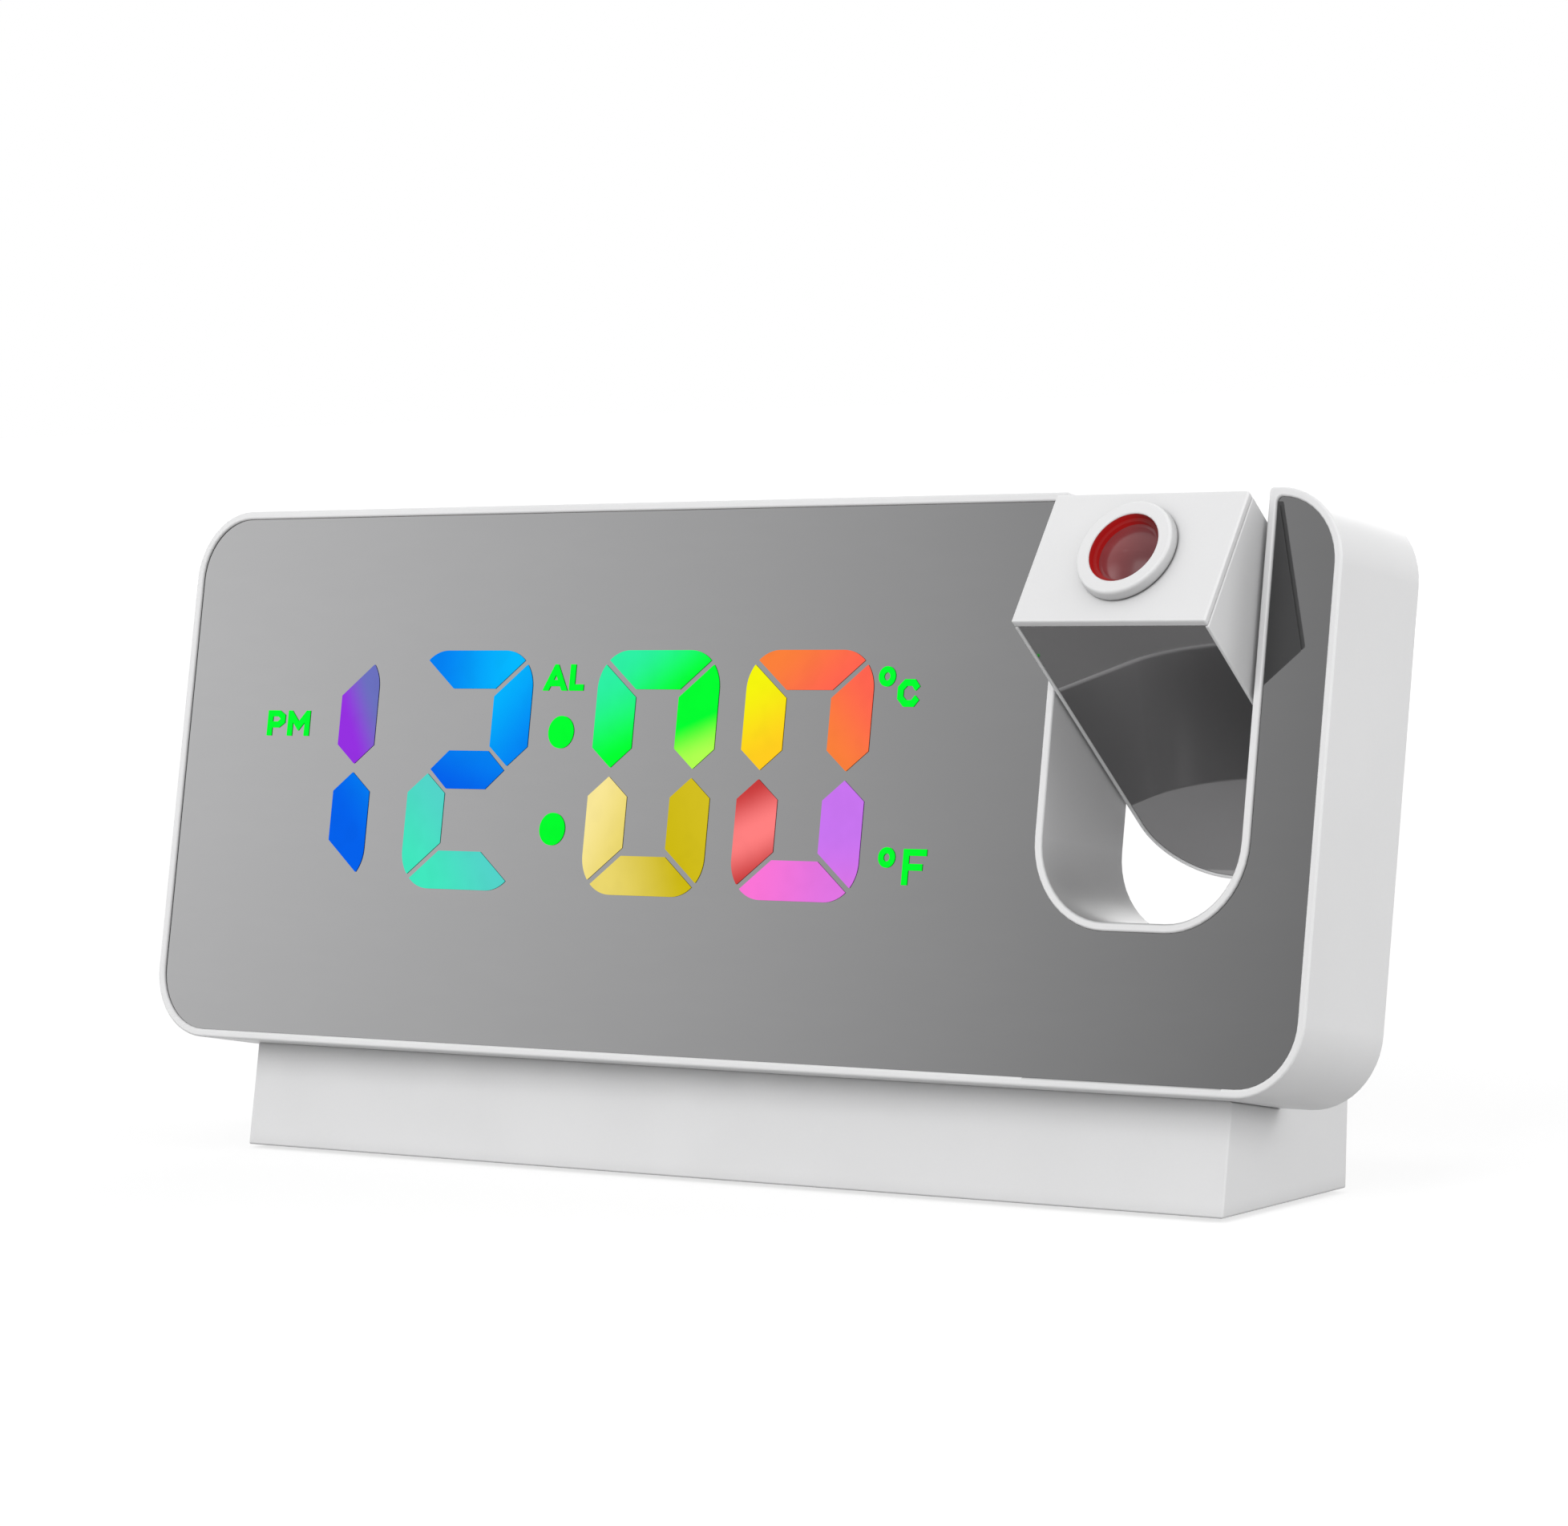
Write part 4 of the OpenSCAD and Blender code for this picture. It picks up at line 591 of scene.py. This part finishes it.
def cell_sleeve():
    """Battery sleeve: bare metal at both ends of each cell, a copper-coloured band by
    the plus pole, and a dark shrunk sleeve between them."""
    low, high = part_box("battery_cells")
    pitch = (high.x - low.x) / CELL_COUNT / MM
    band_start, bare_start, bare_end, seam = pitch - 14.3, pitch - 1.3, 0.5, 0.1
    material, tree, shader = finish("cell sleeve", Coat_Weight=0.2)
    place = millimetres(tree)
    across = put(tree, "SeparateXYZ", Vector=place).outputs["X"]
    along = calc(tree, "MODULO", calc(tree, "SUBTRACT", across, low.x / MM), pitch)
    skin = use(tree, MOULDED_GRAIN, Light=(0.035, 0.037, 0.045, 1), Dark=(0.025, 0.026, 0.03, 1),
               Grain_Size=0.4, Low_Roughness=0.25, High_Roughness=0.4)
    metal = use(tree, DRAWN_METAL, Light=(0.62, 0.61, 0.58, 1), Dark=(0.45, 0.44, 0.42, 1),
                Stretch=(1.0, 0.2, 0.2), Roughness=0.25)
    band = ranged(tree, along, band_start, band_start + seam)
    wrapped = mixed(tree, band, skin["Color"], (0.42, 0.17, 0.07, 1))
    bare_plus = ranged(tree, along, bare_start, bare_start + seam)
    bare_minus = ranged(tree, along, bare_end, bare_end - seam)
    bare = calc(tree, "MAXIMUM", bare_plus, bare_minus)
    cover(tree, shader, mixed(tree, bare, wrapped, metal["Color"]), skin["Roughness"])
    tree.links.new(bare, shader["Metallic"])
    raise_surface(tree, shader, skin["Height"], 0.01)
    return material


# How much darker the slot's floor is painted, as painted shade under the head
SLOT_FLOOR_PAINTED_SHADE = 0.58
# Bow of the head's mirror over its height, in millimetres
HEAD_BOW = 0.25

# Gloss white of the shells: paler edges that are partly a painted highlight, and painted shade in
# their hollows out to 12 mm
GLOSS_WHITE = {
    "light": WHITE, "dark": WHITE_DRIFT, "worn": WHITE_WEAR_AND_HIGHLIGHT, "grain": 0.3,
    "roughness": (0.34, 0.38), "bump": 0.001, "wear": 0.9, "edge": 0.5, "shade_reach": 12.0,
    "recess": 0.35,
}

shell_gloss = moulded("shell white", **GLOSS_WHITE)
housing_white = shell_with_painted_slot_shade()
# Satin white: painted shade close in to its corners
shell_satin = moulded("shell white satin", WHITE, WHITE_DRIFT, WHITE_WEAR_AND_HIGHLIGHT, grain=0.28,
                      roughness=(0.42, 0.48), bump=0.004, shade_reach=2.5, recess=0.3)
key_plastic = moulded("key plastic", (0.6, 0.6, 0.61, 1), (0.56, 0.56, 0.57, 1), (0.7, 0.7, 0.7, 1),
                      grain=0.25, roughness=(0.42, 0.55), bump=0.012)
mark_ink = moulded("mark ink", (0.07, 0.07, 0.075, 1), (0.05, 0.05, 0.055, 1), (0.1, 0.1, 0.1, 1),
                   grain=0.2, roughness=(0.5, 0.6), bump=0.004)
opal_plastic = moulded("opal plastic", (0.82, 0.82, 0.8, 1), (0.78, 0.78, 0.76, 1), WHITE_WEAR_AND_HIGHLIGHT,
                       grain=0.5, roughness=(0.5, 0.6), bump=0.01, Subsurface_Weight=0.15,
                       Subsurface_Scale=0.002)
black_plastic = moulded("black plastic", (0.022, 0.022, 0.023, 1), (0.016, 0.016, 0.017, 1),
                        (0.06, 0.06, 0.06, 1), grain=0.25, roughness=(0.4, 0.55), bump=0.015,
                        edge=0.2)
bead_resin = moulded("bead resin", (0.02, 0.03, 0.12, 1), (0.015, 0.02, 0.09, 1),
                     (0.05, 0.06, 0.2, 1), grain=0.4, roughness=(0.2, 0.3), bump=0.01,
                     Coat_Weight=0.4)
rubber = moulded("foot rubber", (0.035, 0.035, 0.036, 1), (0.026, 0.026, 0.027, 1),
                 (0.07, 0.07, 0.07, 1), grain=0.45, roughness=(0.75, 0.9), bump=0.03)
red_lamp = moulded("red lamp", (0.5, 0.03, 0.02, 1), (0.4, 0.02, 0.015, 1), (0.7, 0.1, 0.08, 1),
                   grain=0.3, roughness=(0.12, 0.2), bump=0.005, Coat_Weight=0.5)
# Each mirror's two film colours are the ends of its painted reflection
face_mirror = half_mirror("face mirror", (0.094, 0.094, 0.095, 1), (0.1, 0.1, 0.101, 1),
                          (0.14, 0.14, 0.14, 1), across=-1.0, up=0.0)
head_mirror = half_mirror("head mirror", (0.24, 0.237, 0.24, 1), (0.26, 0.257, 0.26, 1),
                          (0.24, 0.24, 0.24, 1), across=-0.8, up=-1.0, bow=HEAD_BOW)
steel = drawn("drawn steel", (0.62, 0.62, 0.63, 1), (0.48, 0.48, 0.5, 1), stretch=(0.25, 1.0, 1.0),
              roughness=0.22)
nickel = drawn("nickelled spring wire", (0.7, 0.69, 0.66, 1), (0.55, 0.54, 0.5, 1),
               stretch=(1.0, 0.3, 0.3), roughness=0.18)
green_light = lit("green marks", GREEN, LEAF, up=-0.6)
board_lacquer = circuit_board()
glass = clear_glass()
lens_glass = coated_lens()
barrel_black = lens_barrel()
collar_white = focus_collar()
sleeve = cell_sleeve()

SLOT_FINISH = {
    "shell_white": shell_gloss, "mirror_film": face_mirror, "steel": steel,
    "green_light": green_light, "opal_plastic": opal_plastic, "circuit_board": board_lacquer,
    "black_plastic": black_plastic, "rubber": rubber, "cell_sleeve": sleeve,
    "key_plastic": key_plastic, "clear_glass": glass, "red_lamp": red_lamp, "red_glass": lens_glass,
    "hours_light": green_light, "minutes_light": green_light,
}
NODE_FINISH = {
    "housing": housing_white,
    "stand_shell": shell_satin, "stand_base": shell_satin, "battery_door": shell_satin,
    "rear_cover": shell_satin, "head_mirror": head_mirror, "lens_cell": barrel_black,
    "temperature_sensor": bead_resin, "battery_contacts": nickel, "focus_ring": collar_white,
}

# Radius of each moulded edge, in millimetres
EDGE_RADIUS = {
    "housing": 0.3, "stand_shell": 0.3, "head_shell": 0.2, "head_cap": 0.25, "focus_ring": 0.35,
    "rear_cover": 0.15, "battery_door": 0.2, "stand_base": 0.2, "rubber_feet": 0.25,
    "mode_button": 0.3, "alarm_button": 0.3, "down_button": 0.3, "up_button": 0.3,
    "projector_button": 0.3,
}


FLAT_ANGLE = radians(0.3)
EDGE_ANGLE = radians(35)


def round_edges(item, radius, segments=3):
    """Joins the split corners, melts flat triangles together and rounds the edges."""
    weld = item.modifiers.new("weld", "WELD")
    weld.merge_threshold = MERGE_GAP
    flat = item.modifiers.new("flat faces", "DECIMATE")
    flat.decimate_type = "DISSOLVE"
    flat.angle_limit = FLAT_ANGLE
    bevel = item.modifiers.new("edge radius", "BEVEL")
    bevel.width = radius * MM
    bevel.segments = segments
    bevel.limit_method = "ANGLE"
    bevel.angle_limit = EDGE_ANGLE
    bevel.use_clamp_overlap = False
    bevel.miter_outer = "MITER_ARC"
    normals = item.modifiers.new("even normals", "WEIGHTED_NORMAL")
    normals.keep_sharp = False


def dress_nodes():
    """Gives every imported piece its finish, and the moulded ones their edge radius."""
    for part in frame["record"]["subparts"]:
        node = frame["nodes"][part["node"]]
        node.data.materials.clear()
        by_slot = SLOT_FINISH[part["material_slot"]]
        node.data.materials.append(NODE_FINISH.get(part["node"], by_slot))
    for name, radius in EDGE_RADIUS.items():
        round_edges(frame["nodes"][name], radius)


dress_nodes()

# ------------------------------------------------------------------ pieces


def piece(name, shape, material, body):
    """A new piece of the clock, from a mesh or a curve, that rides on a body."""
    made = bpy.data.objects.new(name, shape)
    bpy.context.scene.collection.objects.link(made)
    shape.materials.append(material)
    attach(made, body)
    return made


def mesh_of(shape, name):
    """Turns a bmesh into a mesh and frees it."""
    mesh = bpy.data.meshes.new(name)
    shape.to_mesh(mesh)
    shape.free()
    return mesh


def solids_of(node):
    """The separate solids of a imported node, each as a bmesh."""
    whole = bmesh.new()
    whole.from_mesh(frame["nodes"][node].data)
    bmesh.ops.remove_doubles(whole, verts=whole.verts, dist=MERGE_GAP)
    whole.verts.ensure_lookup_table()
    seen = set()
    found = []
    for start in whole.verts:
        if start.index in seen:
            continue
        group = [start]
        seen.add(start.index)
        for vertex in group:
            for link in vertex.link_edges:
                other = link.other_vert(vertex)
                if other.index not in seen:
                    seen.add(other.index)
                    group.append(other)
        solid = bmesh.new()
        corner = {v.index: solid.verts.new(v.co) for v in group}
        for face in dict.fromkeys(f for v in group for f in v.link_faces):
            solid.faces.new([corner[v.index] for v in face.verts])
        bmesh.ops.recalc_face_normals(solid, faces=solid.faces)
        found.append(solid)
    whole.free()
    return found


# ------------------------------------------------------------------ lit digits

# Colours of each stroke, then how its light runs across and up and how far it has run
# in the middle of the stroke: the first colour is at the low end of that run
STROKE_LIGHT = {
    "hour_tens": {"b": (VIOLET, SLATE, 0.9, 1.0, 0.4), "c": (BLUE, AZURE, 0.5, 0.9, 0.1)},
    "hour_units": {"a": (AZURE, SKY, 1.0, 0.0), "b": (SKY, AZURE, 0.3, -0.6),
                   "g": (BLUE, AZURE, 0.5, 0.6), "e": (TURQUOISE, TEAL, 0.3, 0.7),
                   "d": (TURQUOISE, TEAL, 1.0, 0.2)},
    "minute_tens": {"a": (MINT, GREEN, 0.9, -0.4), "f": (MINT, GREEN, 0.2, -1.0),
                    "b": (GREEN, LIME, 0.4, -2.2, 0.0), "e": (CREAM, STRAW, 0.6, -0.5),
                    "c": (MUSTARD, OCHRE, 0.5, 0.5), "d": (STRAW, MUSTARD, 1.0, 0.1)},
    "minute_units": {"f": (YELLOW, AMBER, 0.2, -1.0), "a": (ORANGE, CORAL, 0.9, -0.3),
                     "b": (CORAL, ORANGE, -0.4, -0.7), "e": (BRICK, ROSE, 0.2, -1.0),
                     "d": (PINK, MAGENTA, 1.0, 0.0), "c": (MAGENTA, ORCHID, 0.0, 1.0, 0.9)},
}
DIGIT_LEFT = {
    "hour_tens": -COLON_X - COLON_GAP - DIGIT_W - LEAD_PITCH,
    "hour_units": -COLON_X - COLON_GAP - DIGIT_W,
    "minute_tens": -COLON_X + COLON_GAP,
    "minute_units": -COLON_X + COLON_GAP + DIGIT_PITCH,
}


def stroke_letter(across, up):
    """Letter of the stroke at a place in its digit, a to g clockwise from the top."""
    if 0.3 < across < 0.7:
        return "a" if up > 0.75 else "d" if up < 0.25 else "g"
    if up > 0.5:
        return "f" if across < 0.5 else "b"
    return "e" if across < 0.5 else "c"


def light_digits():
    """One window for each lit stroke, in the colours that it runs through."""
    to_body = BODY.inverted()
    for node, slot in (("hour_windows", "hours_light"), ("minute_windows", "minutes_light")):
        for solid in solids_of(node):
            middle = to_body @ (sum((v.co for v in solid.verts), Vector()) / len(solid.verts))
            digit = next(d for d, left in DIGIT_LEFT.items() if left < middle.x < left + DIGIT_W)
            letter = stroke_letter((middle.x - DIGIT_LEFT[digit]) / DIGIT_W,
                                   (middle.z - DISPLAY_V) / DIGIT_H + 0.5)
            name = f"{digit}_{letter}"
            bands = 1.0 if name == "minute_units_e" else 0.0
            light = lit(name, *STROKE_LIGHT[digit][letter], bands=bands)
            window = piece(name, mesh_of(solid, name), light, "clock")
            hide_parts(node)


light_digits()

# ------------------------------------------------------------------ marks on the keys

# The marks' outlines are in millimetres around the middle of the key
LINE_W = 0.26
BEAM_START = Vector((-0.9, -0.7))
INK_T = 0.04 * MM


def arc(centre, radius, start, end, steps=16):
    """Points of an arc, from one angle to another in degrees."""
    angles = [radians(start + (end - start) * i / steps) for i in range(steps + 1)]
    return [(centre[0] + radius * cos(a), centre[1] + radius * sin(a)) for a in angles]


def bar(start, end, width):
    """Outline of a straight bar between two points."""
    run = Vector(end) - Vector(start)
    side = Vector((-run.y, run.x)).normalized() * width / 2
    return [tuple(p) for p in (Vector(start) + side, Vector(start) - side, Vector(end) - side,
                               Vector(end) + side)]


def ring_bars(centre, radius, width, count=20):
    """A ring made of short bars that meet at their ends."""
    points = arc(centre, radius, 0, 360, count)
    return [bar(a, b, width) for a, b in zip(points, points[1:])]


def beam(turn):
    """A bar that runs outward from the projector mark's dot."""
    way = Vector((cos(turn), sin(turn)))
    return bar(BEAM_START + 0.75 * way, BEAM_START + 2.2 * way, LINE_W)


BELL = ([(-1.25, -0.75)] + arc((-0.95, 0.2), 0.35, 200, 160, 3) + arc((0, 0.2), 0.85, 165, 15)
        + arc((0.95, 0.2), 0.35, 20, -20, 3) + [(1.25, -0.75)])
KEY_MARKS = {
    "mode": ring_bars((0, 0), 1.25, 0.28) + [bar((0, -0.1), (0, 0.8), LINE_W),
                                            bar((-0.1, 0), (0.65, 0), LINE_W)],
    "alarm": [BELL, arc((0, -0.95), 0.32, 180, 360, 8), bar((0, 0.9), (0, 1.35), 0.3)],
    "down": [[(-1.3, 0.85), (0, -1.1), (1.3, 0.85)]],
    "up": [[(-1.3, -0.85), (1.3, -0.85), (0, 1.1)]],
    "projector": ([arc(BEAM_START, 0.42, 0, 360, 14)[1:]]
                  + [beam(radians(turn)) for turn in (8, 38, 68)]),
}


def plates(outlines, thickness):
    """Thin plates from outlines in millimetres, standing in the plane of X and Z."""
    shape = bmesh.new()
    for outline in outlines:
        face = shape.faces.new([shape.verts.new((x * MM, 0, z * MM)) for x, z in outline])
        risen = bmesh.ops.extrude_face_region(shape, geom=[face])["geom"]
        corners = [g for g in risen if isinstance(g, bmesh.types.BMVert)]
        bmesh.ops.translate(shape, verts=corners, vec=(0, thickness, 0))
    bmesh.ops.recalc_face_normals(shape, faces=shape.faces)
    return shape


def mark_keys():
    """Printed mark in the middle of each key, seen from behind the clock."""
    seen_from_behind = Matrix.Diagonal((-1, 1, 1, 1))
    for key, outlines in KEY_MARKS.items():
        low, high = box_in(BODY, f"{key}_button")
        middle = Vector(((low.x + high.x) / 2, high.y, (low.z + high.z) / 2))
        place = BODY @ Matrix.Translation(middle) @ seen_from_behind
        mark = plates(outlines, INK_T)
        bmesh.ops.transform(mark, matrix=place, verts=mark.verts)
        bmesh.ops.recalc_face_normals(mark, faces=mark.faces)
        piece(f"{key}_mark", mesh_of(mark, f"{key}_mark"), mark_ink, f"{key}_key")


mark_keys()

# ------------------------------------------------------------------ battery bay


def block(shape, across, deep, up, place=Matrix.Identity(4)):
    """Adds a box to a bmesh, from its two limits along each axis of a place."""
    low, high = (Vector(ends) for ends in zip(across, deep, up))
    matrix = place @ Matrix.Translation((high + low) / 2) @ Matrix.Diagonal((*(high - low), 1))
    bmesh.ops.create_cube(shape, size=1, matrix=matrix)


def around(middle, size):
    """The two limits of a size that is centred on a middle."""
    return middle - size / 2, middle + size / 2


def rib_door():
    """Grip ribs and a raised arrow on the battery door."""
    rib_count, rib_l, rib_t, rib_pitch = 4, 9 * MM, 0.3 * MM, 0.9 * MM
    rib_root, rib_proud = 0.2 * MM, 0.25 * MM
    arrow_t, arrow_root, arrow_drop = 0.2 * MM, 0.05 * MM, 6 * MM
    top = box_in(BACK_WALL, "battery_door")[1].z - 3.2 * MM
    ribs = bmesh.new()
    for i in range(rib_count):
        z = top - i * rib_pitch
        block(ribs, around(0, rib_l), (-rib_root, rib_proud), (z - rib_t, z), BACK_WALL)
    grip = piece("door_grip", mesh_of(ribs, "door_grip"), shell_satin, "door")
    round_edges(grip, 0.1, 2)
    arrow = plates([[(-1.6, 1), (0, -1.4), (1.6, 1)]], arrow_t)
    place = BACK_WALL @ Matrix.Translation((0, -arrow_root, top - arrow_drop))
    bmesh.ops.transform(arrow, matrix=place, verts=arrow.verts)
    pointer = piece("door_arrow", mesh_of(arrow, "door_arrow"), shell_satin, "door")
    round_edges(pointer, 0.06, 2)


PLATE_T = 0.4 * MM
CELL_AXIS = sum((Vector(corner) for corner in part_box("battery_cells")), Vector()) / 2


def contact_plates():
    """Flat plates at both ends of the row of cells, one with a dome pressed into it."""
    plate_w, dome_r, dome_flatness = 7.8 * MM, 1.9 * MM, 0.25
    low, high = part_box("battery_contacts")
    shape = bmesh.new()
    for x in (low.x + PLATE_T / 2, high.x - PLATE_T / 2):
        block(shape, around(x, PLATE_T), around(CELL_AXIS.y, plate_w), around(CELL_AXIS.z, plate_w))
    dome = (Matrix.Translation((high.x - PLATE_T, CELL_AXIS.y, CELL_AXIS.z))
            @ Matrix.Diagonal((dome_flatness, 1, 1, 1)))
    bmesh.ops.create_uvsphere(shape, u_segments=24, v_segments=12, radius=dome_r, matrix=dome)
    contacts = piece("contact_plates", mesh_of(shape, "contact_plates"), nickel, "clock")
    round_edges(contacts, 0.12, 2)
    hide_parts("battery_contacts")


def contact_spring():
    """Conical spring that presses on the first cell."""
    turns, steps_a_turn = 5, 24
    wire_r, length, wide, narrow = 0.32 * MM, 4.1 * MM, 3.3 * MM, 1.9 * MM
    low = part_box("battery_contacts")[0]
    line = bpy.data.curves.new("contact_spring", "CURVE")
    line.dimensions = "3D"
    line.bevel_depth = wire_r
    line.bevel_resolution = 4
    line.use_fill_caps = True
    spline = line.splines.new("POLY")
    steps = turns * steps_a_turn
    spline.points.add(steps)
    for i, point in enumerate(spline.points):
        share = i / steps
        angle = share * turns * 2 * pi
        radius = wide + (narrow - wide) * share
        x = low.x + PLATE_T + wire_r + share * (length - 2 * wire_r)
        point.co = (x, CELL_AXIS.y + radius * cos(angle), CELL_AXIS.z + radius * sin(angle), 1)
    piece("contact_spring", line, nickel, "clock")


rib_door()
contact_plates()
contact_spring()

# ------------------------------------------------------------------ parts on the boards


def chip_parts(name, node, columns, rows, inset, pitch):
    """Rows of small resistors and capacitors with tinned ends on the back of a board."""
    long, wide, tall, cap, tin_rise = 1.6 * MM, 0.8 * MM, 0.45 * MM, 0.35 * MM, 1.08
    low, high = box_in(BODY, node)
    bodies = bmesh.new()
    tins = bmesh.new()
    for place in range(columns * rows):
        column, row = divmod(place, rows)
        x = low.x + (inset[0] + column * pitch[0]) * MM
        z = around(low.z + (inset[1] + row * pitch[1]) * MM, wide)
        block(bodies, around(x, long - 2 * cap), (high.y, high.y + tall), z, BODY)
        for side in (-1, 1):
            end = x + side * (long - cap) / 2
            block(tins, around(end, cap), (high.y, high.y + tall * tin_rise), z, BODY)
    parts = piece(name, mesh_of(bodies, name), black_plastic, "clock")
    ends = piece(name + "_ends", mesh_of(tins, name + "_ends"), steel, "clock")
    round_edges(parts, 0.06, 2)
    round_edges(ends, 0.06, 2)


chip_parts("main_chips", "main_board", columns=5, rows=2, inset=(24, 4), pitch=(3, 2))
chip_parts("display_chips", "display_board", columns=22, rows=1, inset=(14, 5), pitch=(4.4, 2))

# ------------------------------------------------------------------ floor, light, camera

FLOOR_SIZE = 60
FLOOR_TONE = 0.38
# The floor's lift near the clock and far off, where a mirror shows more of it, and the
# distances from the clock in metres between which it changes
NEAR, FAR = 0.3, 2.5
NEAR_LIFT = 0.72
FAR_LIFT = 0.92
FAR_LIFT_MIRRORED = 1.3
# Light of the air in front of the clock and behind it, and the share of depth in a way
# out from the clock where each is full
AIR_LIGHT = 0.62
BACK_AIR_LIGHT = 0.4
AIR_FRONT, AIR_BACK = -0.3, 0.9
# The card that the mirror shows: where it hangs, its inner and outer edge, and its light
CARD_TURN, CARD_RISE = radians(54), radians(14)
CARD_INNER, CARD_OUTER = radians(5), radians(20.6)
CARD_LIGHT = 4.9
OFF_CARD_LIGHT = 1.36


def lay_floor():
    """Pale floor. What the camera and a mirror see of it is lifted to the white of the
    air behind it, and the clock's own shadow stays on it."""
    bpy.ops.mesh.primitive_grid_add(x_subdivisions=8, y_subdivisions=8, size=FLOOR_SIZE)
    floor = bpy.context.object
    floor.name = "floor"
    material = bpy.data.materials.new("floor")
    material.use_nodes = True
    tree = material.node_tree
    tree.nodes.clear()
    path = put(tree, "LightPath").outputs
    seen = calc(tree, "MAXIMUM", path["Is Camera Ray"], path["Is Transmission Ray"])
    place = put(tree, "TexCoord").outputs["Object"]
    pale, darker = ((tone, tone, tone, 1) for tone in (FLOOR_TONE, FLOOR_TONE * 0.97))
    matt = put(tree, "BsdfDiffuse", Color=mixed(tree, noise(tree, place, scale=3), pale, darker))
    away = vector_calc(tree, "DISTANCE", place, (0, 0, 0), "Value")
    level = ranged(tree, away, NEAR, FAR, NEAR_LIFT, FAR_LIFT)
    mirrored = ranged(tree, away, NEAR, FAR, NEAR_LIFT, FAR_LIFT_MIRRORED)
    strength = calc(tree, "MAXIMUM", calc(tree, "MULTIPLY", seen, level),
                    calc(tree, "MULTIPLY", path["Is Glossy Ray"], mirrored))
    lift = put(tree, "Emission", Color=(1, 1, 1, 1), Strength=strength)
    both = put(tree, "AddShader")
    tree.links.new(matt.outputs[0], both.inputs[0])
    tree.links.new(lift.outputs[0], both.inputs[1])
    out = put(tree, "OutputMaterial")
    tree.links.new(both.outputs[0], out.inputs["Surface"])
    floor.data.materials.append(material)


def light_air():
    """White air for the camera, softer light for the clock, and a broad bright card to
    the left that shades the mirror from left to right."""
    world = bpy.data.worlds.new("studio")
    bpy.context.scene.world = world
    world.use_nodes = True
    tree = world.node_tree
    tree.nodes.clear()
    path = put(tree, "LightPath").outputs
    way = put(tree, "TexCoord").outputs["Generated"]
    card = (-sin(CARD_TURN) * cos(CARD_RISE), -cos(CARD_TURN) * cos(CARD_RISE), sin(CARD_RISE))
    off_card = calc(tree, "ARCCOSINE", vector_calc(tree, "DOT_PRODUCT", way, card, "Value"))
    bright = ranged(tree, off_card, CARD_OUTER, CARD_INNER, OFF_CARD_LIGHT, CARD_LIGHT, soft=False)
    seen = put(tree, "Mix", {"data_type": "FLOAT"}, Factor=path["Is Glossy Ray"])
    seen.inputs[2].default_value = 1.0
    tree.links.new(bright, seen.inputs[3])
    direct = calc(tree, "MAXIMUM", path["Is Camera Ray"], path["Is Glossy Ray"])
    direct = calc(tree, "MAXIMUM", direct, path["Is Transmission Ray"])
    strength = put(tree, "Mix", {"data_type": "FLOAT"}, Factor=direct)
    depth = put(tree, "SeparateXYZ", Vector=way).outputs["Y"]
    soft_light = ranged(tree, depth, AIR_FRONT, AIR_BACK, AIR_LIGHT, BACK_AIR_LIGHT)
    tree.links.new(soft_light, strength.inputs[2])
    tree.links.new(seen.outputs[0], strength.inputs[3])
    air = put(tree, "Background", Color=(1, 1, 1, 1), Strength=strength.outputs[0])
    out = put(tree, "OutputWorld")
    tree.links.new(air.outputs[0], out.inputs["Surface"])


CLOCK_MIDDLE = Vector((0, 0, 0.04))


def hang_softbox(name, place, size, power):
    """A square lamp that faces the clock."""
    lamp = bpy.data.lights.new(name, "AREA")
    lamp.shape = "SQUARE"
    lamp.size = size
    lamp.energy = power
    made = bpy.data.objects.new(name, lamp)
    bpy.context.scene.collection.objects.link(made)
    made.location = place
    made.rotation_euler = (CLOCK_MIDDLE - Vector(place)).to_track_quat("-Z", "Y").to_euler()


# Where the camera stands, then its turn to the right, its rise and its roll
CAMERA_PLACE = (0.43384, -0.53603, 0.09808)
CAMERA_TURN, CAMERA_RISE, CAMERA_ROLL = -0.67865, -0.06762, -0.03961
CAMERA_LENS = 124.6


def set_camera():
    """Long lens, a little above the desk and to the clock's right."""
    level = Vector((cos(CAMERA_TURN), -sin(CAMERA_TURN), 0))
    ahead = Vector((sin(CAMERA_TURN), cos(CAMERA_TURN), 0))
    forward = ahead * cos(CAMERA_RISE) + Vector((0, 0, sin(CAMERA_RISE)))
    upright = level.cross(forward)
    right = level * cos(CAMERA_ROLL) + upright * sin(CAMERA_ROLL)
    up = upright * cos(CAMERA_ROLL) - level * sin(CAMERA_ROLL)
    lens = bpy.data.cameras.new("camera")
    lens.lens = CAMERA_LENS
    lens.sensor_width = 36
    lens.sensor_fit = "HORIZONTAL"
    lens.clip_start = 0.01
    lens.clip_end = 100
    camera = bpy.data.objects.new("camera", lens)
    bpy.context.scene.collection.objects.link(camera)
    turned = Matrix((right, up, -forward)).transposed().to_4x4()
    camera.matrix_world = Matrix.Translation(CAMERA_PLACE) @ turned
    bpy.context.scene.camera = camera


lay_floor()
light_air()
hang_softbox("front softbox", (0.12, -1.3, 0.82), size=0.9, power=8.8)
hang_softbox("side softbox", (1.2, 0.28, 0.42), size=0.7, power=5.0)
hang_softbox("back softbox", (-0.4, 1.35, 0.36), size=0.7, power=4.0)
set_camera()
bpy.context.scene.view_settings.view_transform = "Standard"
